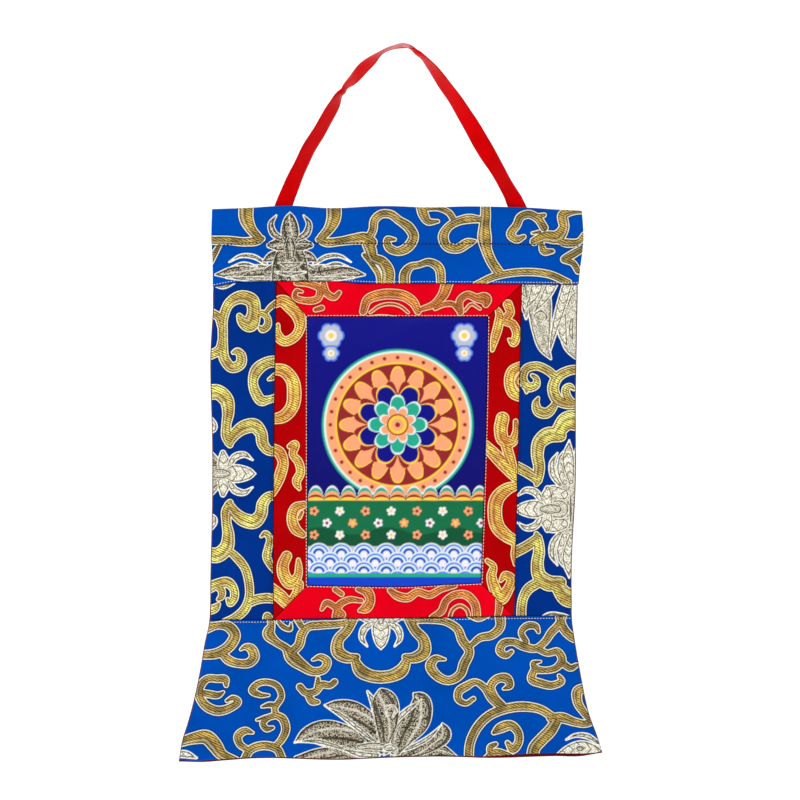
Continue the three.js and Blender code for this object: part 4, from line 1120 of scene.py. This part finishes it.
def sew(name, lines, material, pitch, long, thick):
    """Stitches along lines of points in metres, as one plain mesh."""
    spots, pairs = [], []
    for line in lines:
        start = len(spots)
        spots += line.tolist()
        pairs += [(start + k, start + k + 1) for k in range(len(line) - 1)]
    mesh = bpy.data.meshes.new(name + "_line")
    mesh.from_pydata(spots, pairs, [])
    seam = bpy.data.objects.new(name + "_line", mesh)
    bpy.context.scene.collection.objects.link(seam)
    maker = seam.modifiers.new("Stitches", "NODES")
    maker.node_group = stitch_tree(name + "_tree", material)
    given = {"Pitch": pitch, "Length": long, "Thickness": thick}
    for item in maker.node_group.interface.items_tree:
        if item.name in given:
            maker[item.identifier] = given[item.name]
    graph = bpy.context.evaluated_depsgraph_get()
    made = bpy.data.meshes.new_from_object(seam.evaluated_get(graph))
    made.name = name
    bpy.data.objects.remove(seam)
    made.shade_smooth()
    piece = bpy.data.objects.new(name, made)
    bpy.context.scene.collection.objects.link(piece)
    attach(piece, "root")
    return piece


LAID = {}


def build_cloth(name, node, step, seed, material, gold, silver=(), dip=0.12 * MM):
    """One brocade cloth: laid, woven with its figures, closed and dressed."""
    cloth = lay_front(node, step, seed, dip)
    piece, area = finish_cloth(name, cloth, 26, gold, silver)
    LAID[node] = cloth
    return dress(piece, material, [node])


class SCROLL_OT_band(bpy.types.Operator):
    """Makes the top band, with its figures and its filled casing"""

    bl_idname = "scroll.make_band"
    bl_label = "Top band"

    def execute(self, context):
        sizes, hues = context.scene.scroll_sizes, context.scene.scroll_colours
        pale, dark = srgb("#dedccb"), srgb("#221e14")
        # This lighter blue with darker gold, against the panels' darker blue with brighter gold, is painted sheen and
        # painted shade of one brocade cut the other way.
        blue = satin_brocade("band_satin_brocade", hues.band, hues.shaded_band_gold, pale, dark)
        build_cloth("band_cloth", "top_band", sizes.grid, SEED, blue, BAND_GOLD, BAND_SILVER)
        return {"FINISHED"}


class SCROLL_OT_skirt(bpy.types.Operator):
    """Makes the flared skirt with its figures"""

    bl_idname = "scroll.make_skirt"
    bl_label = "Skirt"

    def execute(self, context):
        step = context.scene.scroll_sizes.skirt_grid
        blue = bpy.data.materials["band_satin_brocade"]
        build_cloth("skirt_cloth", "skirt", step, SEED + 1, blue, SKIRT_GOLD, SKIRT_SILVER)
        return {"FINISHED"}


class SCROLL_OT_panels(bpy.types.Operator):
    """Makes the two panels beside the picture"""

    bl_idname = "scroll.make_panels"
    bl_label = "Side panels"

    def execute(self, context):
        sizes, hues = context.scene.scroll_sizes, context.scene.scroll_colours
        # The panels' darker blue and brighter gold are painted shade and painted sheen of the band's brocade cut along
        # its length.
        navy = satin_brocade("panel_satin_brocade", hues.panel, hues.gold, srgb("#e6dfc0"), srgb("#40330f"))
        build_cloth("left_panel_cloth", "left_panel", sizes.grid, SEED + 2, navy,
                    LEFT_PANEL_GOLD, LEFT_PANEL_SILVER)
        build_cloth("right_panel_cloth", "right_panel", sizes.grid, SEED + 3, navy,
                    RIGHT_PANEL_GOLD, RIGHT_PANEL_SILVER)
        return {"FINISHED"}


class SCROLL_OT_borders(bpy.types.Operator):
    """Makes the four red strips round the picture"""

    bl_idname = "scroll.make_borders"
    bl_label = "Red strips"

    def execute(self, context):
        sizes, hues = context.scene.scroll_sizes, context.scene.scroll_colours
        # The strips above and below and the strips beside the picture are one brocade cut two ways: the brighter red
        # with darker gold above and below and the darker red with brighter gold beside are painted sheen and painted
        # shade of the satin.
        shaded_strip_gold, dark = srgb("#d08238"), srgb("#7a2a08")
        bright = satin_brocade("strip_satin_brocade", hues.strip, shaded_strip_gold, srgb("#f4b898"), dark)
        deep = satin_brocade("side_strip_satin_brocade", hues.side_strip, hues.red_gold, srgb("#f8cc98"), dark)
        rows = (
            ("border_top", BORDER_TOP_GOLD, bright, "border_brocade"),
            ("border_foot", BORDER_FOOT_GOLD, bright, "border_brocade"),
            ("border_left", BORDER_LEFT_GOLD, deep, "border_brocade_side"),
            ("border_right", BORDER_RIGHT_GOLD, deep, "border_brocade_side"),
        )
        for count, (node, gold, material, slot) in enumerate(rows):
            build_cloth(node + "_cloth", node, sizes.fine_grid, SEED + 4 + count, material, gold)
        return {"FINISHED"}


class SCROLL_OT_picture(bpy.types.Operator):
    """Makes the printed picture cloth"""

    bl_idname = "scroll.make_picture"
    bl_label = "Picture cloth"

    def execute(self, context):
        sizes = context.scene.scroll_sizes
        cloth = lay_front("picture", sizes.picture_grid, SEED + 9, 0.1 * MM)
        piece, area = finish_cloth("picture_cloth", cloth, 20)
        layer = print_design(cloth.x / MM, cloth.z / MM)
        layer[..., 3] = 1
        store(piece, "print", "FLOAT_COLOR", layer, cloth.x.size)
        dress(piece, printed_satin("printed_satin"), ["picture"])
        return {"FINISHED"}


class SCROLL_OT_lining(bpy.types.Operator):
    """Makes the plain lining over the whole back"""

    bl_idname = "scroll.make_lining"
    bl_label = "Lining"

    def execute(self, context):
        sizes, hues = context.scene.scroll_sizes, context.scene.scroll_colours
        cloth = lay_front("lining", sizes.lining_grid, SEED + 10)
        creases = smooth_step(cloth.edge, 0, 6 * MM) * waves(cloth.x, cloth.z, 34 * MM, SEED + 11)
        cloth.back += sizes.unevenness * creases
        piece, area = finish_cloth("lining_cloth", cloth, len(cloth.v))
        LAID["lining"] = cloth
        cotton = plain_cloth("maroon_cotton", hues.lining)
        dress(piece, cotton, ["lining"])
        return {"FINISHED"}


class SCROLL_OT_ribbon(bpy.types.Operator):
    """Makes the satin ribbon loop with its two half twists"""

    bl_idname = "scroll.make_ribbon"
    bl_label = "Ribbon"

    def execute(self, context):
        sizes, hues = context.scene.scroll_sizes, context.scene.scroll_colours
        points, across = ribbon_mesh(sizes)
        piece = make_loft("ribbon_loop", points)
        layer = piece.data.attributes.new("across", "FLOAT", "POINT")
        layer.data.foreach_set("value", np.tile(across, len(points)).astype(np.float32))
        piece.data.materials.append(satin_ribbon("red_satin_ribbon", hues.ribbon))
        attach(piece, "root")
        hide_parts("ribbon")
        return {"FINISHED"}


def seam_line(node, pick, inside, count):
    """A line of points on a laid cloth, a little in front of it: a column or row at a distance in
    metres from one of its sides."""
    cloth = LAID[node]
    if pick in ("left", "right"):
        share = inside / cloth.wide if pick == "left" else 1 - inside / cloth.wide
        column = int(np.argmin(np.abs(cloth.u - share)))
        line = np.stack([cloth.x[:, column], cloth.y[:, column], cloth.z[:, column]], -1)
    else:
        share = inside / cloth.tall if pick == "foot" else 1 - inside / cloth.tall
        row = int(np.argmin(np.abs(cloth.v - share)))
        line = np.stack([cloth.x[row], cloth.y[row], cloth.z[row]], -1)
    picks = np.linspace(4, len(line) - 5, count).astype(int)
    line = line[picks]
    line[:, 1] -= 0.2 * MM
    return line


class SCROLL_OT_stitches(bpy.types.Operator):
    """Sews the casing line and the seams"""

    bl_idname = "scroll.sew_stitches"
    bl_label = "Stitches"

    def execute(self, context):
        sizes, hues = context.scene.scroll_sizes, context.scene.scroll_colours
        dark = spun_thread("dark_spun_thread", hues.thread)
        pale = spun_thread("pale_spun_thread", hues.pale_thread)
        pitch, long, thick = sizes.stitch_pitch, sizes.stitch_long, sizes.stitch_thick
        casing = LAID["top_band"].tall - 22 * MM
        sew("casing_stitches", [seam_line("top_band", "foot", casing, 120)], dark, pitch, long, 0.7 * MM)
        uprights = [seam_line("left_panel", "right", 0.9 * MM, 90), seam_line("right_panel", "left", 0.9 * MM, 90)]
        sew("panel_stitches", uprights, dark, pitch * 0.85, long * 0.8, thick)
        strips = ("border_left", "right"), ("border_right", "left"), ("border_top", "foot"), ("border_foot", "top")
        inner = [seam_line(node, side, 0.7 * MM, 70) for node, side in strips]
        sew("strip_stitches", inner, pale, pitch * 0.9, long, thick)
        level = [seam_line("skirt", "top", 1.0 * MM, 110), seam_line("top_band", "foot", 0.8 * MM, 110)]
        sew("cross_seam_stitches", level, pale, pitch * 0.8, long * 0.75, thick)
        return {"FINISHED"}


def area_light(name, spot, size, power, at):
    """A soft square light aimed at a point."""
    data = bpy.data.lights.new(name, "AREA")
    data.shape, data.size, data.energy = "SQUARE", size, power
    lamp = bpy.data.objects.new(name, data)
    lamp.location = spot
    lamp.rotation_euler = (Vector(at) - Vector(spot)).to_track_quat("-Z", "Y").to_euler()
    bpy.context.scene.collection.objects.link(lamp)


def paper_sweep(name, half_wide, floor, front, back, bend, top):
    """A level sheet of studio paper that curves up behind: a strip of faces in metres."""
    turns = np.linspace(0, math.pi / 2, 13)
    curve = [(back - bend + bend * math.sin(t), floor + bend - bend * math.cos(t)) for t in turns]
    profile = [(front, floor)] + curve + [(back, top)]
    spots = [(side, y, z) for y, z in profile for side in (-half_wide, half_wide)]
    faces = [(2 * k, 2 * k + 1, 2 * k + 3, 2 * k + 2) for k in range(len(profile) - 1)]
    mesh = bpy.data.meshes.new(name)
    mesh.from_pydata(spots, [], faces)
    mesh.shade_smooth()
    sweep = bpy.data.objects.new(name, mesh)
    bpy.context.scene.collection.objects.link(sweep)
    return sweep


class SCROLL_OT_stage(bpy.types.Operator):
    """Sets the paper sweep, the lights, the sky and the camera"""

    bl_idname = "scroll.set_stage"
    bl_label = "Stage"

    def execute(self, context):
        stage = context.scene.scroll_stage
        middle = (VIEW_MIDDLE[0], 0.0, VIEW_MIDDLE[1])
        camera = bpy.data.cameras.new("camera")
        camera.sensor_width = 36.0
        camera.lens = camera.sensor_width * stage.distance / VIEW_WIDE
        camera.clip_end = 40.0
        eye = bpy.data.objects.new("camera", camera)
        eye.location = (middle[0], -stage.distance, middle[2])
        eye.rotation_euler = (math.radians(90), 0, 0)
        context.scene.collection.objects.link(eye)
        context.scene.camera = eye
        # The paper stands far behind, so that a view of the back looks at it from in front.
        sweep = paper_sweep("paper_sweep", 16.0, -1.0, -9.0, 3.9, 1.0, 9.0)
        sweep.data.materials.append(sweep_paper("matt_sweep_paper", srgb("#fbfbfc"), 0.3))
        area_light("key_light", (-1.1, -1.5, 0.9), 0.8, stage.key, middle)
        area_light("fill_light", (1.3, -1.4, -0.1), 1.2, stage.fill, middle)
        area_light("back_light", (0.4, 1.4, 0.6), 1.2, stage.back, middle)
        world = bpy.data.worlds.new("pale_studio")
        context.scene.world = world
        world.use_nodes = True
        sky = world.node_tree.nodes["Background"]
        sky.inputs["Color"].default_value = srgb("#fdfdfe")
        sky.inputs["Strength"].default_value = stage.sky
        context.scene.view_settings.view_transform = "Standard"
        return {"FINISHED"}


class SCROLL_PT_panel(bpy.types.Panel):
    """Lists the scroll's operators in the sidebar"""

    bl_label = "Hanging scroll"
    bl_idname = "SCROLL_PT_panel"
    bl_space_type = "VIEW_3D"
    bl_region_type = "UI"
    bl_category = "Scroll"

    def draw(self, context):
        for maker in OPERATORS:
            self.layout.operator(maker.bl_idname)
        for group in (context.scene.scroll_sizes, context.scene.scroll_colours, context.scene.scroll_stage):
            box = self.layout.box()
            for name in group.bl_rna.properties.keys():
                if name not in ("rna_type", "name"):
                    box.prop(group, name)


OPERATORS = (
    SCROLL_OT_stage, SCROLL_OT_band, SCROLL_OT_panels, SCROLL_OT_borders, SCROLL_OT_picture,
    SCROLL_OT_skirt, SCROLL_OT_lining, SCROLL_OT_ribbon, SCROLL_OT_stitches,
)
GROUPS = {"scroll_sizes": ScrollSizes, "scroll_colours": ScrollColours, "scroll_stage": ScrollStage}


def register():
    for kind in (*GROUPS.values(), *OPERATORS, SCROLL_PT_panel):
        bpy.utils.register_class(kind)
    for name, group in GROUPS.items():
        setattr(bpy.types.Scene, name, bpy.props.PointerProperty(type=group))


def unregister():
    for name in GROUPS:
        delattr(bpy.types.Scene, name)
    for kind in reversed((*GROUPS.values(), *OPERATORS, SCROLL_PT_panel)):
        bpy.utils.unregister_class(kind)


def main():
    register()
    bpy.ops.scroll.set_stage()
    bpy.ops.scroll.make_band()
    bpy.ops.scroll.make_panels()
    bpy.ops.scroll.make_borders()
    bpy.ops.scroll.make_picture()
    bpy.ops.scroll.make_skirt()
    bpy.ops.scroll.make_lining()
    bpy.ops.scroll.make_ribbon()
    bpy.ops.scroll.sew_stitches()


if __name__ == "__main__":
    main()
